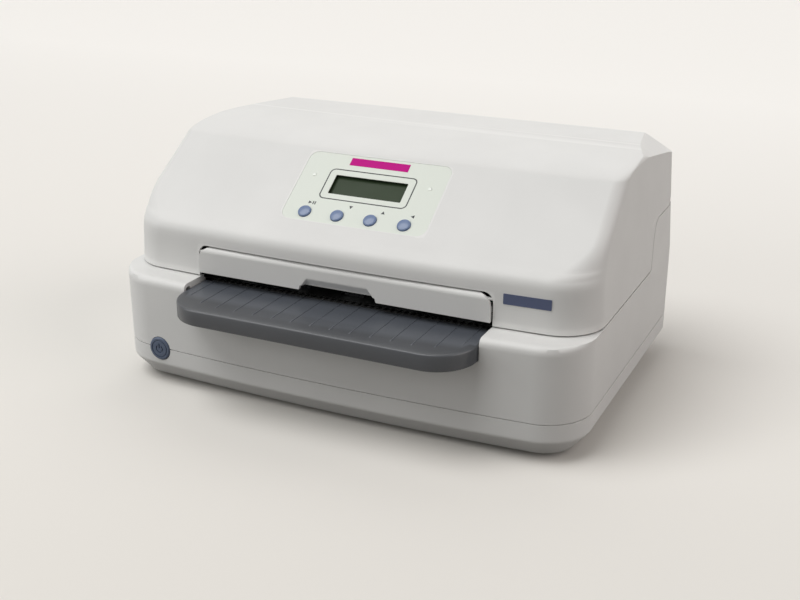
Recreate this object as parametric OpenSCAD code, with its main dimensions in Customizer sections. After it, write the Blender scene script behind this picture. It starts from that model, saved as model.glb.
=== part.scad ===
// Flat-bed dot matrix printer for documents and passbooks.
// Origin: middle of the bounding box on the standing surface. X to the right, Y to the back, Z up.

/* [Overall] */
// Width of the case
body_w = 420; // [416:1:424]
// Depth of the case, from its bowed front to its rear wall
body_d = 273.5; // [272:0.5:275]
// How far the document table stands out in front of the case
table_reach = 31; // [29:0.5:32]
// Height of the feet
foot_h = 4; // [3:0.5:5]
// Wall of the moulded shells
wall = 3; // [2.5:0.25:3.25]

/* [Case] */
// Height of the parting line between the pan and the lower case
pan_top = 34.3; // [33:0.1:36]
// Height of the ledge in front of the cover
ledge_z = 96.8; // [96.4:0.1:97.2]
// Height of the raised rear rim of the lower case
rear_rim_z = 138.3; // [137.5:0.1:138.5]
// Radius of the front corners of the case
case_corner_r = 39.5; // [36:0.5:42]
// Radius of the bow along the front of the case
case_bow_r = 2650; // [2400:50:3200]

/* [Cover] */
// Height of the cover's lower edge at the front
cover_z = 98; // [97.8:0.1:98.4]
// Height of the closed cover
body_h = 203.7; // [203:0.1:206]
// How far the cover's front stands behind the front of the case
cover_setback = 26; // [25:0.5:27]
// Slope of the face that carries the control panel
slope_angle = 35; // [34.5:0.1:35.5]
// Radius of the cover's front corners
cover_corner_r = 37; // [35:0.5:40]
// How far the cover opens
cover_travel = 70; // [60:1:70]

/* [Document path] */
// Width of the document table
table_w = 262.8; // [260:0.2:263.2]
// Height of the surface that the document slides on
path_z = 92.1; // [91.8:0.1:92.2]
// Radius of the feed rollers
roller_r = 8; // [7.8:0.1:8.1]
// Distance along the path from the print line to each pair of rollers
roller_reach = 70; // [68:0.5:71]

/* [Carriage] */
// Travel of the carriage to each side of the middle
carriage_travel = 119; // [110:1:119]
// Radius of the rear guide rod
rear_rod_r = 5; // [4.5:0.1:5.5]
// Radius of the front guide rod
front_rod_r = 4; // [3.5:0.1:4.5]

/* [Control panel] */
// Width of the control panel
panel_w = 130.6; // [126:0.2:134]
// Width of the display's opening
lcd_w = 66; // [62:0.5:68]
// Height of the display's opening
lcd_h = 20; // [18:0.5:21]
// Distance between neighbouring keys
key_pitch = 30; // [28:0.5:32]
// Radius of a key
key_r = 5.3; // [5:0.1:5.6]

/* [Gears] */
// Module of the feed gears
gear_module = 1.5; // [1.5:0.1:1.5]
// Teeth of the motor pinion
pinion_teeth = 12; // [12:1:12]
// Teeth of each idler gear
idler_teeth = 36; // [36:1:36]
// Teeth of each roller gear
roller_teeth = 16; // [16:1:16]

/* [Hidden] */
$fn = 48;
eps = 0.01;

half_w = body_w / 2;
rear_y = (body_d + table_reach) / 2;
front_y = rear_y - body_d;
table_front = -rear_y;
print_y = 6;

// Colours of the finishes
warm_white = [0.86, 0.86, 0.84];
slate = [0.27, 0.29, 0.33];
key_blue = [0.36, 0.42, 0.56];
steel = [0.72, 0.73, 0.74];
dark_plastic = [0.13, 0.13, 0.14];
brass_tone = [0.78, 0.66, 0.36];
board_green = [0.10, 0.34, 0.20];

// ---------- Outlines and lofts ----------

arc_steps = 6;
bow_steps = 3;
rear_round = 4;

// Right half of a plan outline, from the rear centre round to the front centre.
// w: half width, front: y of the bow at x = 0, rx and ry: radii of the front corner,
// w_rear: half width at the rear wall, shoulder: y where the side starts to run in to w_rear.
function half_ring(w, front, rx, ry, rear, w_rear, shoulder, bow) =
    let (xc = w - rx, yc = front + xc * xc / (2 * bow) + ry)
    concat(
        [[w_rear - rear_round, rear], [w_rear - 0.3 * rear_round, rear - 0.3 * rear_round],
         [w_rear, rear - rear_round], [w, shoulder]],
        [for (i = [0 : arc_steps]) let (a = 90 * i / arc_steps) [xc + rx * cos(a), yc - ry * sin(a)]],
        [for (i = [1 : bow_steps - 1]) let (x = xc * (1 - i / bow_steps)) [x, front + x * x / (2 * bow)]]
    );

function ring(w, front, rx, ry, rear, w_rear, shoulder, bow) =
    let (half = half_ring(w, front, rx, ry, rear, w_rear, shoulder, bow), last = len(half) - 1)
    concat(half, [[0, front]], [for (i = [last : -1 : 0]) [-half[i].x, half[i].y]]);

// A solid through closed outlines that all have the same number of points, from the lowest up
module loft(outlines, heights) {
    n = len(outlines[0]);
    top = len(outlines) - 1;
    points = [for (k = [0 : top]) for (p = outlines[k]) [p.x, p.y, heights[k]]];
    sides = [for (k = [0 : top - 1]) for (i = [0 : n - 1])
        [k * n + i, k * n + (i + 1) % n, (k + 1) * n + (i + 1) % n, (k + 1) * n + i]];
    lid = [for (i = [0 : n - 1]) top * n + i];
    base = [for (i = [n - 1 : -1 : 0]) i];
    polyhedron(points, concat(sides, [lid, base]), convexity = 6);
}

// A polygon in the YZ plane, drawn out along X from x0 to x1
module along_x(x0, x1) {
    translate([x0, 0, 0]) rotate([90, 0, 90]) linear_extrude(x1 - x0) children();
}

// A round bar along X
module rod_x(x0, x1, y, z, r) {
    translate([x0, y, z]) rotate([0, 90, 0]) cylinder(h = x1 - x0, r = r);
}

module box(from, to) {
    translate(from) cube(to - from);
}

function bezier(p0, p1, p2, p3, t) =
    pow(1 - t, 3) * p0 + 3 * pow(1 - t, 2) * t * p1 + 3 * (1 - t) * t * t * p2 + t * t * t * p3;

function curve(p0, p1, p2, p3, steps) = [for (i = [0 : steps]) bezier(p0, p1, p2, p3, i / steps)];

// ---------- Case outlines ----------

function case_ring(inset, front_inset = 0, bow = case_bow_r) =
    ring(half_w - inset, front_y + inset + front_inset, case_corner_r - inset,
         case_corner_r - inset - front_inset, rear_y - inset, half_w - inset, 60, bow);

// The seam between lower case and cover on each side: low at the front, then up to the rear rim
seam_foot = [82, ledge_z];
seam_head = [107, rear_rim_z];
seam_gap = 1.1;

seam_curve = curve(seam_foot, [88, 112], [91, rear_rim_z - 1.3], seam_head, 8);

// ---------- Cover surface ----------

cover_front = front_y + cover_setback;
cover_bow_r = 3600;
crease = [cover_front + 4.5, 139.5];
slope_dir = [cos(slope_angle), sin(slope_angle)];
slope_end = crease + 98 * slope_dir;
shoulder_z = 186.4;
side_top_z = 198.7;
edge_r = 5.5;
crest_y = 84;

// Front profile of the cover in the YZ plane: skirt, soft crease, slope and crown
front_profile = concat(
    [[cover_front, cover_z], [cover_front + 0.5, 128]],
    curve([cover_front + 0.7, 131], [cover_front + 1.2, 137.5], crease + [-0.5, 1],
          crease + 8 * slope_dir, 3),
    [for (v = [24, 44, 64, 82]) crease + v * slope_dir],
    curve(slope_end, slope_end + 6 * slope_dir, [20, body_h], [crest_y, body_h], 6)
);

// How far the drafted sides have run in at height z
side_draft = 0.061;
function side_lean(z) = side_draft * max(0, z - cover_z);

// Half width of the cover at height z: drafted side and rounded top edge
function cover_half_w(z) =
    half_w - side_lean(min(z, side_top_z)) - edge_r
    + (z < side_top_z ? edge_r : sqrt(max(1, edge_r * edge_r - pow(z - side_top_z, 2))));

// Plan radii of the cover's front corner at height z: round on the skirt, tight along the slope
corner_low = 140;
corner_high = 165;
function corner_share(z) = pow(1 - min(1, max(0, z - corner_low) / (corner_high - corner_low)), 2);
function corner_rx(z) = edge_r + (cover_corner_r - edge_r) * corner_share(z);
function corner_ry(z) = edge_r / sin(slope_angle)
    + (cover_corner_r - edge_r / sin(slope_angle)) * corner_share(z);

// Flat facet that cuts each rear corner, through three points
rear_top_z = 200.4;
facet_foot = [half_w - side_lean(shoulder_z), rear_y, shoulder_z];
facet_ridge = [180, rear_y, rear_top_z];
facet_tip = [203, 50, 203];
facet_normal = cross(facet_ridge - facet_foot, facet_tip - facet_foot);
function facet_x(y, z) = facet_foot.x
    - (facet_normal.y * (y - facet_foot.y) + facet_normal.z * (z - facet_foot.z)) / facet_normal.x;
function facet_y(x, z) = facet_foot.y
    - (facet_normal.x * (x - facet_foot.x) + facet_normal.z * (z - facet_foot.z)) / facet_normal.y;

function cover_rear_w(z) =
    z < shoulder_z ? cover_half_w(z) : min(cover_half_w(z), facet_x(cover_rear(z), z));

function cover_rear(z) =
    z < rear_top_z - 2 ? rear_y :
    z < rear_top_z ? rear_y - 0.6 * (z - rear_top_z + 2) :
    max(crest_y + 6, rear_y - 1.2 - 62 * pow((z - rear_top_z) / (body_h - rear_top_z), 1.3));

function cover_shoulder(z) = z < shoulder_z ? 100 : facet_y(cover_half_w(z), z);

function unit(v) = v / norm(v);

// Point k of a profile moved inwards by t, square to the profile
function moved_in(profile, k, t) =
    let (a = profile[max(0, k - 1)], b = profile[min(len(profile) - 1, k + 1)], d = unit(b - a))
    profile[k] + t * [d.y, -d.x];

function cover_ring(k, t) =
    let (p = front_profile[k], q = moved_in(front_profile, k, t), w = cover_half_w(p.y) - t,
         rear = cover_rear(p.y) - t, rx = corner_rx(p.y) - t, ry = min(corner_ry(p.y) - t, 0.3 * (rear - q.x)),
         corner_y = q.x + (w - rx) * (w - rx) / (2 * cover_bow_r) + ry)
    ring(w, q.x, rx, ry, rear, cover_rear_w(p.y) - t,
         min(max(cover_shoulder(p.y), corner_y + 2), rear - rear_round - 1), cover_bow_r);

profile_end = len(front_profile) - 2;

module cover_solid(t) {
    outlines = [for (k = [0 : profile_end]) cover_ring(k, t)];
    heights = [for (k = [0 : profile_end]) moved_in(front_profile, k, t).y];
    if (t == 0) loft(outlines, heights);
    else loft(concat([outlines[0]], outlines), concat([cover_z - 10], [cover_z + 1],
              [for (k = [1 : profile_end]) heights[k]]));
}

// Stands the children on the sloped face: x across, y up the slope, z out of the face
module on_slope() {
    translate([0, crease.x, crease.y]) rotate([slope_angle, 0, 0]) children();
}

module rounded_plate(w, h, r, z0, z1) {
    translate([0, 0, z0]) linear_extrude(z1 - z0) rounded_square(w, h, r);
}

module rounded_square(w, h, r) {
    square([w - 2 * r, h], center = true);
    square([w, h - 2 * r], center = true);
    for (x = [-1, 1]) for (y = [-1, 1]) translate([x * (w / 2 - r), y * (h / 2 - r)]) circle(r);
}

panel_low = 23;
panel_high = 96;
panel_mid = (panel_low + panel_high) / 2;
panel_h = panel_high - panel_low;
panel_depth = 0.8;
lcd_mid = 63.6;
key_v = 31.8;
light_v = 71;
light_x = 53;
wall_back = -wall - 0.2;

function key_x(i) = (i - 2.5) * key_pitch;

// ---------- Hinges ----------

hinge_y = rear_y - 11;
hinge_z = 150;
hinge_pin_r = 2.5;
hinge_r = 7;
hinge_clear = hinge_z - rear_rim_z;
// The rim ends this far below the hinge axis, under the rear wall of the opened cover
lip_drop = 9.05;
lip_end = asin(lip_drop / hinge_clear);
// Top of the rear rim, which follows a circle round the hinge axis up to the rear wall
hinge_lip = [for (i = [0 : 4]) let (a = -90 + (90 - lip_end) * i / 4)
    [hinge_y, hinge_z] + hinge_clear * [cos(a), sin(a)]];
hinge_lip_top = hinge_lip[4].y;
arm_x0 = 188;
arm_x1 = 196;
knuckle_x0 = 178;

flap_axis_y = cover_front + 4.5;
flap_axis_z = 119.1;
flap_r = 4.5;
flap_w = 262.8;
flap_z = 101.3;
flap_open_w = 265.2;
flap_open_top = flap_axis_z + flap_r + 1.2;
flap_pin_r = 1.3;
flap_corner = 11;
flap_pin_end = flap_open_w / 2 + 2.2;
flap_open_corner = 8;
lug_x = 129;
lug_w = 8;
lug_front = cover_front + 3.5;
fit = 0.05;

// ---------- Shells ----------

// Pan: straight wall, a crease, then a chamfer to a smaller floor
pan_floor = foot_h + 3.5;

module bottom_pan() {
    color(warm_white) {
        difference() {
            loft([case_ring(12.5), case_ring(3.2), case_ring(0.6), case_ring(0), case_ring(0)],
                 [foot_h, 15.5, 19, 21, pan_top]);
            loft([case_ring(15), case_ring(6), case_ring(wall), case_ring(wall)],
                 [pan_floor, 18.5, 23, pan_top + 1]);
            button_hole();
            for (p = screw_places) translate([p.x, p.y, 0]) {
                cylinder(h = foot_h + 2.5, r = 3.6);
                cylinder(h = 20, r = 1.8);
            }
            for (side = [-1, 1]) for (i = [0 : 8])
                box([side * 90 - 2 + (i - 4) * 9, 30, 0], [side * 90 + 2 + (i - 4) * 9, 80, 20]);
        }
        for (p = frame_feet) translate([p.x, p.y, pan_floor - eps]) boss(frame_z - pan_floor + eps, 5, 1.6);
        for (p = screw_places) translate([p.x, p.y, pan_floor - eps]) boss(8 + eps, 5, 1.8);
    }
}

module boss(h, r, hole_r) {
    difference() {
        cylinder(h = h, r = r);
        translate([0, 0, -1]) cylinder(h = h + 2, r = hole_r);
    }
}

screw_places = [for (x = [-178, 178]) for (y = [-62, 30, 128]) [x, y]];
frame_feet = [for (x = [-157, 157]) for (y = [-66, 92]) [x, y]];
frame_z = 16;
post_z = pan_floor + 8;

module rubber_feet() {
    color(dark_plastic)
    for (x = [-165, 165]) for (y = [-82, 112]) translate([x, y, 0])
        rotate_extrude() polygon([[0, 0], [9, 0], [10, 1], [10, foot_h], [0, foot_h]]);
}

groove = 0.8;
notch_w = 264;
notch_back = -86;
shelf_z = path_z - 13.7;

// The raised rear part of the case leans in with the cover's sides
ear_top = 156;
function leaning_ring(inset, z) =
    let (w = half_w - inset - side_lean(z))
    ring(w, front_y, case_corner_r, case_corner_r, rear_y - inset, w, 60, case_bow_r);

module lower_case() {
    color(warm_white) {
        difference() {
            union() {
                loft([case_ring(groove), case_ring(groove), case_ring(0), case_ring(0),
                      case_ring(0, 0.7), case_ring(0, 2.2), case_ring(0, 4.6)],
                     [pan_top, pan_top + groove, pan_top + groove + eps, ledge_z - 4.6,
                      ledge_z - 2.2, ledge_z - 0.7, ledge_z]);
                intersection() {
                    loft([case_ring(0), case_ring(0), leaning_ring(0, ear_top)], [ledge_z - 10, cover_z, ear_top]);
                    along_x(-half_w, half_w) polygon(concat(seam_curve, hinge_lip,
                        [[rear_y + 1, hinge_lip_top], [rear_y + 1, ledge_z - 5], [seam_foot.x, ledge_z - 5]]));
                }
            }
            translate([0, 0, pan_top - 1]) linear_extrude(ledge_z - wall - pan_top + 1)
                polygon(case_ring(wall));
            case_mouth();
            box([-notch_w / 2, front_y - 5, shelf_z], [notch_w / 2, notch_back, ledge_z + 5]);
            button_hole();
            rear_cutouts();
            rear_vents();
        }
        table_tray();
        for (p = screw_places) translate([p.x, p.y, post_z]) boss(pan_top + 8 - post_z, 5, 1.4);
        for (p = screw_places) post_web(p);
        button_sleeve();
        for (side = [-1, 1]) hinge_arm(side);
    }
}

// Web from a screw post to the side wall
module post_web(p) {
    inner = abs(p.x) + 3;
    outer = half_w - wall + 0.5;
    box([p.x > 0 ? inner : -outer, p.y - 1.2, pan_top + 1], [p.x > 0 ? outer : -inner, p.y + 1.2, pan_top + 8]);
}

// The open top of the lower case, inside the ledge and the rear rim
module case_mouth() {
    loft([mouth_ring(cover_z), mouth_ring(cover_z), mouth_ring(ear_top)],
         [ledge_z - wall - 1, cover_z, ear_top]);
}

function mouth_ring(z) =
    let (w = half_w - wall - side_lean(z))
    ring(w, cover_front + 5, 33, 33, rear_y - wall, w, 60, cover_bow_r);

// Shelf and cheeks that the document table drops into
module table_tray() {
    cheek = 3;
    inner = notch_w / 2;
    difference() {
        union() {
            box([-inner - cheek, front_y + 5, shelf_z - wall], [inner + cheek, notch_back, shelf_z]);
            for (x = [-inner - cheek, inner])
                box([x, front_y + 12, shelf_z - wall], [x + cheek, notch_back, ledge_z - 1]);
        }
        difference() {
            box([-half_w, front_y - 20, 0], [half_w, front_y + 30, ledge_z]);
            translate([0, 0, -1]) linear_extrude(ledge_z + 2) polygon(case_ring(1));
        }
    }
    for (x = [-100, -50, 0, 50, 100])
        along_x(x - 1, x + 1) polygon([[front_y + 5, 60], [front_y + 5, shelf_z - wall], [notch_back, shelf_z - wall],
            [notch_back, shelf_z - wall - 4]]);
}

button_x = -162;
button_z = 33.7;
button_r = 10.25;
button_front = front_y + button_x * button_x / (2 * case_bow_r);

module button_hole() {
    translate([button_x, front_y - 10, button_z]) rotate([-90, 0, 0]) cylinder(h = 24, r = button_r + 0.45);
}

// Upper half of the tube that guides the power button
module button_sleeve() {
    intersection() {
        translate([button_x, button_front + 2.4, button_z]) rotate([-90, 0, 0]) difference() {
            cylinder(h = 14, r = button_r + 2.2);
            translate([0, 0, -1]) cylinder(h = 16, r = button_r + 0.45);
        }
        box([-half_w, front_y, pan_top + groove], [0, 0, 60]);
    }
}

inlet_x = -150;
port_z = 58;
usb_x = 128;
parallel_x = 66;

module rear_cutouts() {
    box([inlet_x - 14, rear_y - 8, port_z - 11], [inlet_x + 14, rear_y + 1, port_z + 11]);
    box([usb_x - 6.2, rear_y - 8, port_z - 5.6], [usb_x + 6.2, rear_y + 1, port_z + 5.6]);
    box([parallel_x - 34, rear_y - 8, port_z - 8.5], [parallel_x + 34, rear_y + 1, port_z + 8.5]);
}

module rear_vents() {
    for (i = [0 : 13]) box([-100 + i * 8, rear_y - 8, 46], [-96.5 + i * 8, rear_y + 1, 84]);
}

// Goose-neck arm that carries one hinge pin
module hinge_arm(side) {
    x0 = side > 0 ? arm_x0 : -arm_x1;
    difference() {
        union() {
            rod_x(x0, x0 + arm_x1 - arm_x0, hinge_y, hinge_z, hinge_r);
            along_x(x0, x0 + arm_x1 - arm_x0) polygon([[hinge_y, hinge_z - 5], [hinge_y, hinge_z + hinge_r - 0.2],
                [hinge_y - 10, hinge_z + 6], [hinge_y - 19, hinge_z - 2], [hinge_y - 19, 60],
                [hinge_y - 11, 60], [hinge_y - 11, hinge_z - 9], [hinge_y - 8, hinge_z - 5]]);
            along_x(x0, x0 + arm_x1 - arm_x0) polygon([[hinge_y - 11.1, 60], [hinge_y - 11.1, 120],
                [rear_y - wall + eps, 90], [rear_y - wall + eps, 60]]);
            box([side > 0 ? arm_x1 - eps : -half_w + wall - eps, hinge_y - 19, 60],
                [side > 0 ? half_w - wall + eps : -arm_x1 + eps, hinge_y - 16, 110]);
        }
        rod_x(x0 - 1, x0 + 10, hinge_y, hinge_z, hinge_pin_r + fit);
    }
}

module case_screws() {
    color(steel)
    for (p = screw_places) translate([p.x, p.y, 0]) difference() {
        union() {
            translate([0, 0, foot_h + 0.3]) cylinder(h = 2.2, r = 3.2);
            translate([0, 0, foot_h + 2.4]) cylinder(h = 16, r = 1.4);
        }
        for (a = [0, 90]) rotate([0, 0, a]) box([-2, -0.4, foot_h], [2, 0.4, foot_h + 1.2]);
    }
}

// ---------- Document table ----------

table_corner_r = 33.5;
table_thick = 13.7;
table_rear = notch_back - 0.5;
rib_pitch = 17.3;

module table_outline(inset) {
    r = table_corner_r - inset;
    w = table_w / 2 - inset;
    front = table_front + inset;
    translate([-w, front + r]) square([2 * w, table_rear - front - r]);
    translate([-w + r, front]) square([2 * (w - r), r + 1]);
    for (x = [-w + r, w - r]) intersection() {
        translate([x, front + r]) circle(r, $fn = 96);
        translate([x - r - 1, front - 1]) square([2 * r + 2, r + 1]);
    }
}

module document_table() {
    color(slate) {
        difference() {
            union() {
                translate([0, 0, shelf_z]) linear_extrude(table_thick - 1) table_outline(0);
                translate([0, 0, path_z - 1 - eps]) linear_extrude(0.5) table_outline(0.5);
                translate([0, 0, path_z - 0.5 - eps]) linear_extrude(0.5 + eps) table_outline(1);
            }
            difference() {
                translate([0, 0, shelf_z - 1]) linear_extrude(table_thick - 2.5) table_outline(2.8);
                for (x = [-104, -52, 0, 52, 104]) box([x - 1, table_front, 0], [x + 1, table_rear, path_z]);
                box([-half_w, table_rear - 3, 0], [half_w, table_rear + 1, path_z]);
                box([-half_w, front_y + 2, 0], [half_w, front_y + 4, path_z]);
            }
        }
        for (i = [-7 : 7]) {
            set_back = 12 + (abs(i) > 5 ? 4 * (abs(i) - 5) * (abs(i) - 5) : 0);
            along_x(i * rib_pitch - 0.6, i * rib_pitch + 0.6)
                polygon([[table_front + set_back, path_z - eps], [table_front + set_back + 3, path_z + 0.45],
                    [table_rear, path_z + 0.45], [table_rear, path_z - eps]]);
        }
    }
}

// Row of fingers behind the table that lifts the sheet over the step into the mechanism
module table_comb() {
    color(dark_plastic) {
        box([-126, notch_back - 0.5, path_z - 6], [126, notch_back + 2, path_z]);
        for (i = [-20 : 20]) along_x(i * 6 - 1.2, i * 6 + 1.2)
            polygon([[notch_back - 0.5, path_z - 3], [notch_back - 0.5, path_z + 0.3], [notch_back + 1, path_z + 0.8],
                [notch_back + 6, path_z + 0.3], [notch_back + 6, path_z - 1.5], [notch_back + 2, path_z - 3]]);
    }
}

// ---------- Frame ----------

frame_x = 149;
frame_t = 2;
guide_t = 1.5;
roller_z = path_z - roller_r + 0.4;
pinch_r = 6;
pinch_z = path_z + 0.55 + pinch_r;
shaft_r = 4;
pinch_shaft_r = 2.5;
bush_r = 6.5;
front_roller_y = print_y - roller_reach + 2;
rear_roller_y = print_y + roller_reach - 2;
rod_z = 122;
front_rod_y = print_y - 28;
rear_rod_y = print_y + 38;
belt_y = front_rod_y - 18;
belt_z = 120;
motor_z = 54;

module frame_outline() {
    polygon([[-80, frame_z], [104, frame_z], [104, 100], [96, 112], [60, 126], [50, 136], [36, 136],
        [28, 116], [-8, 116], [-16, 134], [-34, 134], [-56, 112], [-80, 106]]);
}

module side_frame(x0, windows) {
    difference() {
        along_x(x0, x0 + frame_t) frame_outline();
        for (y = [front_roller_y, rear_roller_y]) {
            rod_x(x0 - 1, x0 + 3, y, roller_z, bush_r);
            rod_x(x0 - 1, x0 + 3, y, pinch_z, pinch_shaft_r + fit);
        }
        rod_x(x0 - 1, x0 + 3, rear_rod_y, rod_z, rear_rod_r);
        rod_x(x0 - 1, x0 + 3, front_rod_y, rod_z, front_rod_r);
        children();
        for (w = windows) box([x0 - 1, w[0], w[1]], [x0 + 3, w[2], w[3]]);
    }
}

module frame_flange(x0) {
    difference() {
        box([x0, -80, frame_z], [x0 + 15, 104, frame_z + frame_t]);
        for (p = frame_feet) translate([p.x, p.y, 0]) cylinder(h = 40, r = 1.8);
    }
}

module side_frame_left() {
    color(steel) {
        side_frame(-frame_x - frame_t, [[-70, 28, -34, 64], [-20, 28, 70, 60],
            [belt_y - 12, belt_z - 5, belt_y + 12, belt_z + 5]]);
        frame_flange(-frame_x - frame_t - 15 + eps);
    }
}

module side_frame_right() {
    color(steel) {
        side_frame(frame_x, [[-70, 26, -50, 50], [60, 26, 94, 56]]) {
            rod_x(frame_x - 1, frame_x + 3, print_y, motor_z, 11);
            for (g = [front_idler, rear_idler]) rod_x(frame_x - 1, frame_x + 3, g.x, g.y, 3);
        }
        frame_flange(frame_x + frame_t - eps);
    }
}

module rear_crossbar() {
    color(steel)
    difference() {
        along_x(-frame_x, frame_x) polygon([[92, 60], [102, 60], [102, path_z - guide_t],
            [100.4, path_z - guide_t], [100.4, 61.6], [92, 61.6]]);
        for (x = [-110 : 44 : 110]) translate([x, 104, 76]) rotate([90, 0, 0]) cylinder(h = 6, r = 6);
    }
}

roller_xs = [-100, -50, 0, 50, 100];
roller_l = 18;
platen_l = 252;

module lower_guide() {
    color(steel)
    difference() {
        union() {
            box([-frame_x, notch_back + 6.6, path_z - guide_t], [frame_x, 104, path_z]);
            along_x(-frame_x, frame_x) polygon([[103, path_z - guide_t], [104, path_z], [112, path_z - 3],
                [111.5, path_z - 4.4]]);
        }
        for (y = [front_roller_y, rear_roller_y]) for (x = roller_xs)
            box([x - roller_l / 2 - 1.5, y - 7, path_z - 5], [x + roller_l / 2 + 1.5, y + 7, path_z + 5]);
        box([-platen_l / 2 - 1, print_y - 8, path_z - 5], [platen_l / 2 + 1, print_y + 8, path_z + 5]);
        for (y = [front_roller_y, rear_roller_y]) for (side = [-1, 1])
            box([side * frame_x - 4, y - bush_r - 2, path_z - 5], [side * frame_x + 4, y + bush_r + 2, path_z + 5]);
        for (x = [-120 : 20 : 120])
            translate([x, -38, path_z - 5]) linear_extrude(10) rounded_square(7, 4, 1.5);
    }
}

// Plate over the entry of the path, with its front lip turned up
module upper_guide() {
    color(steel)
    difference() {
        along_x(-frame_x, frame_x) polygon([[-80, pinch_z + 4.5], [-77, pinch_z + 0.5], [-70, pinch_z - 1.5],
            [-70, pinch_z], [-76, pinch_z + 1.7], [-78.6, pinch_z + 5]]);
        for (x = roller_xs) box([x - 12, -72, 90], [x + 12, -60, 110]);
    }
}

module platen_beam() {
    color(steel)
    along_x(-frame_x, frame_x) polygon([[print_y - 12, 76], [print_y + 12, 76], [print_y + 12, 82],
        [print_y + 10.4, 82], [print_y + 10.4, 77.6], [print_y - 10.4, 77.6], [print_y - 10.4, 82],
        [print_y - 12, 82]]);
}

module platen() {
    color(dark_plastic)
    along_x(-platen_l / 2, platen_l / 2) polygon([[print_y - 7, 77.6], [print_y + 7, 77.6],
        [print_y + 7, path_z - 1.4], [print_y + 5, path_z - 0.2], [print_y - 5, path_z - 0.2],
        [print_y - 7, path_z - 1.4]]);
}

module guide_rod_rear() {
    color([0.82, 0.83, 0.84]) rod_x(-frame_x - 5, frame_x + 5, rear_rod_y, rod_z, rear_rod_r);
}

module guide_rod_front() {
    color([0.82, 0.83, 0.84]) rod_x(-frame_x - 5, frame_x + 5, front_rod_y, rod_z, front_rod_r);
}

// Row of edge sensors that look down on the sheet
module sensor_bar() {
    y = front_roller_y + 14;
    color(board_green) {
        box([-frame_x, y - 3.5, path_z + 8], [frame_x, y + 3.5, path_z + 9.6]);
        for (i = [-8 : 8]) box([i * 15 - 2.5, y - 2, path_z + 4.5], [i * 15 + 2.5, y + 2, path_z + 8 + eps]);
    }
}

// ---------- Carriage ----------

module carriage() {
    color(dark_plastic)
    difference() {
        union() {
            rod_x(-24, 24, rear_rod_y, rod_z, 9);
            rod_x(-14, 14, front_rod_y, rod_z, 7.5);
            box([-20, front_rod_y, 113], [20, rear_rod_y, 117]);
            for (x = [-20, 17]) along_x(x, x + 3) polygon([[front_rod_y, 113], [front_rod_y, 126],
                [print_y - 14, 134], [print_y + 16, 134], [rear_rod_y, 128], [rear_rod_y, 113]]);
            belt_clamp();
        }
        rod_x(-30, 30, rear_rod_y, rod_z, rear_rod_r + fit);
        rod_x(-30, 30, front_rod_y, rod_z, front_rod_r + fit);
        box([-17.2, print_y - 17.2, 105], [17.2, print_y + 17.2, 150]);
    }
}

belt_t = 1.2;
belt_h = 5.4;
pulley_r = 7.7;
belt_r = 8;

// Jaw that reaches forward and holds the rear run of the belt
module belt_clamp() {
    run = belt_y + belt_r;
    difference() {
        box([-7, run - 2, belt_z - 7], [7, front_rod_y, belt_z + 6]);
        box([-8, run - 0.35, belt_z - belt_h / 2 - 0.4], [8, run + belt_t + 0.35, belt_z + 10]);
    }
}

head_half = 13;

module print_head() {
    color([0.30, 0.31, 0.33])
    difference() {
        union() {
            box([-17, print_y - 17, 113], [17, print_y + 17, 122]);
            for (i = [0 : 6]) box([-17, print_y - 17, 124 + 4 * i], [17, print_y + 17, 126 + 4 * i]);
            translate([0, print_y, 113]) cylinder(h = 38, r = 12);
            box([-head_half, print_y - 13, 104], [head_half, print_y + 13, 113 + eps]);
            along_x(-4, 4) polygon([[print_y - 9, 104 + eps], [print_y - 2.5, path_z + 3.2],
                [print_y + 2.5, path_z + 3.2], [print_y + 9, 104 + eps]]);
        }
        for (x = [-14, 14]) for (y = [-14, 14]) translate([x, print_y + y, 100]) cylinder(h = 60, r = 1.6);
    }
}

drive_x = -172;
idler_x = 137;

module belt_loop(r) {
    for (x = [drive_x, idler_x]) translate([x, belt_y]) circle(r);
    translate([drive_x, belt_y - r]) square([idler_x - drive_x, 2 * r]);
}

module timing_belt() {
    color(dark_plastic)
    translate([0, 0, belt_z - belt_h / 2]) linear_extrude(belt_h) difference() {
        belt_loop(belt_r + belt_t);
        belt_loop(belt_r);
    }
}

module pulley(x, bore) {
    translate([x, belt_y, belt_z - 4]) difference() {
        union() {
            cylinder(h = 8, r = pulley_r);
            for (z = [0, 7]) translate([0, 0, z]) cylinder(h = 1, r = 9.8);
        }
        translate([0, 0, -1]) cylinder(h = 10, r = bore);
        for (a = [0 : 20 : 359]) rotate([0, 0, a]) box([pulley_r - 0.7, -0.5, 1], [pulley_r + 1, 0.5, 7]);
    }
}

motor_shaft_r = 2;

module drive_pulley() {
    color(brass_tone) {
        pulley(drive_x, motor_shaft_r);
        translate([drive_x, belt_y, 112.6]) cylinder(h = 15, r = motor_shaft_r);
    }
}

module idler_pulley() {
    color(brass_tone) pulley(idler_x, motor_shaft_r + fit);
}

// Bracket on the right frame that carries the idler's pin
module belt_tensioner() {
    color(steel) {
        difference() {
            box([idler_x - 11, belt_y - 11, belt_z - 8], [frame_x, belt_y + 8, belt_z - 5]);
            translate([idler_x + 7, belt_y - 8, belt_z - 9]) cylinder(h = 5, r = 1.4);
        }
        translate([idler_x, belt_y, belt_z - 5 - eps]) cylinder(h = 11, r = motor_shaft_r);
    }
}

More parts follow.
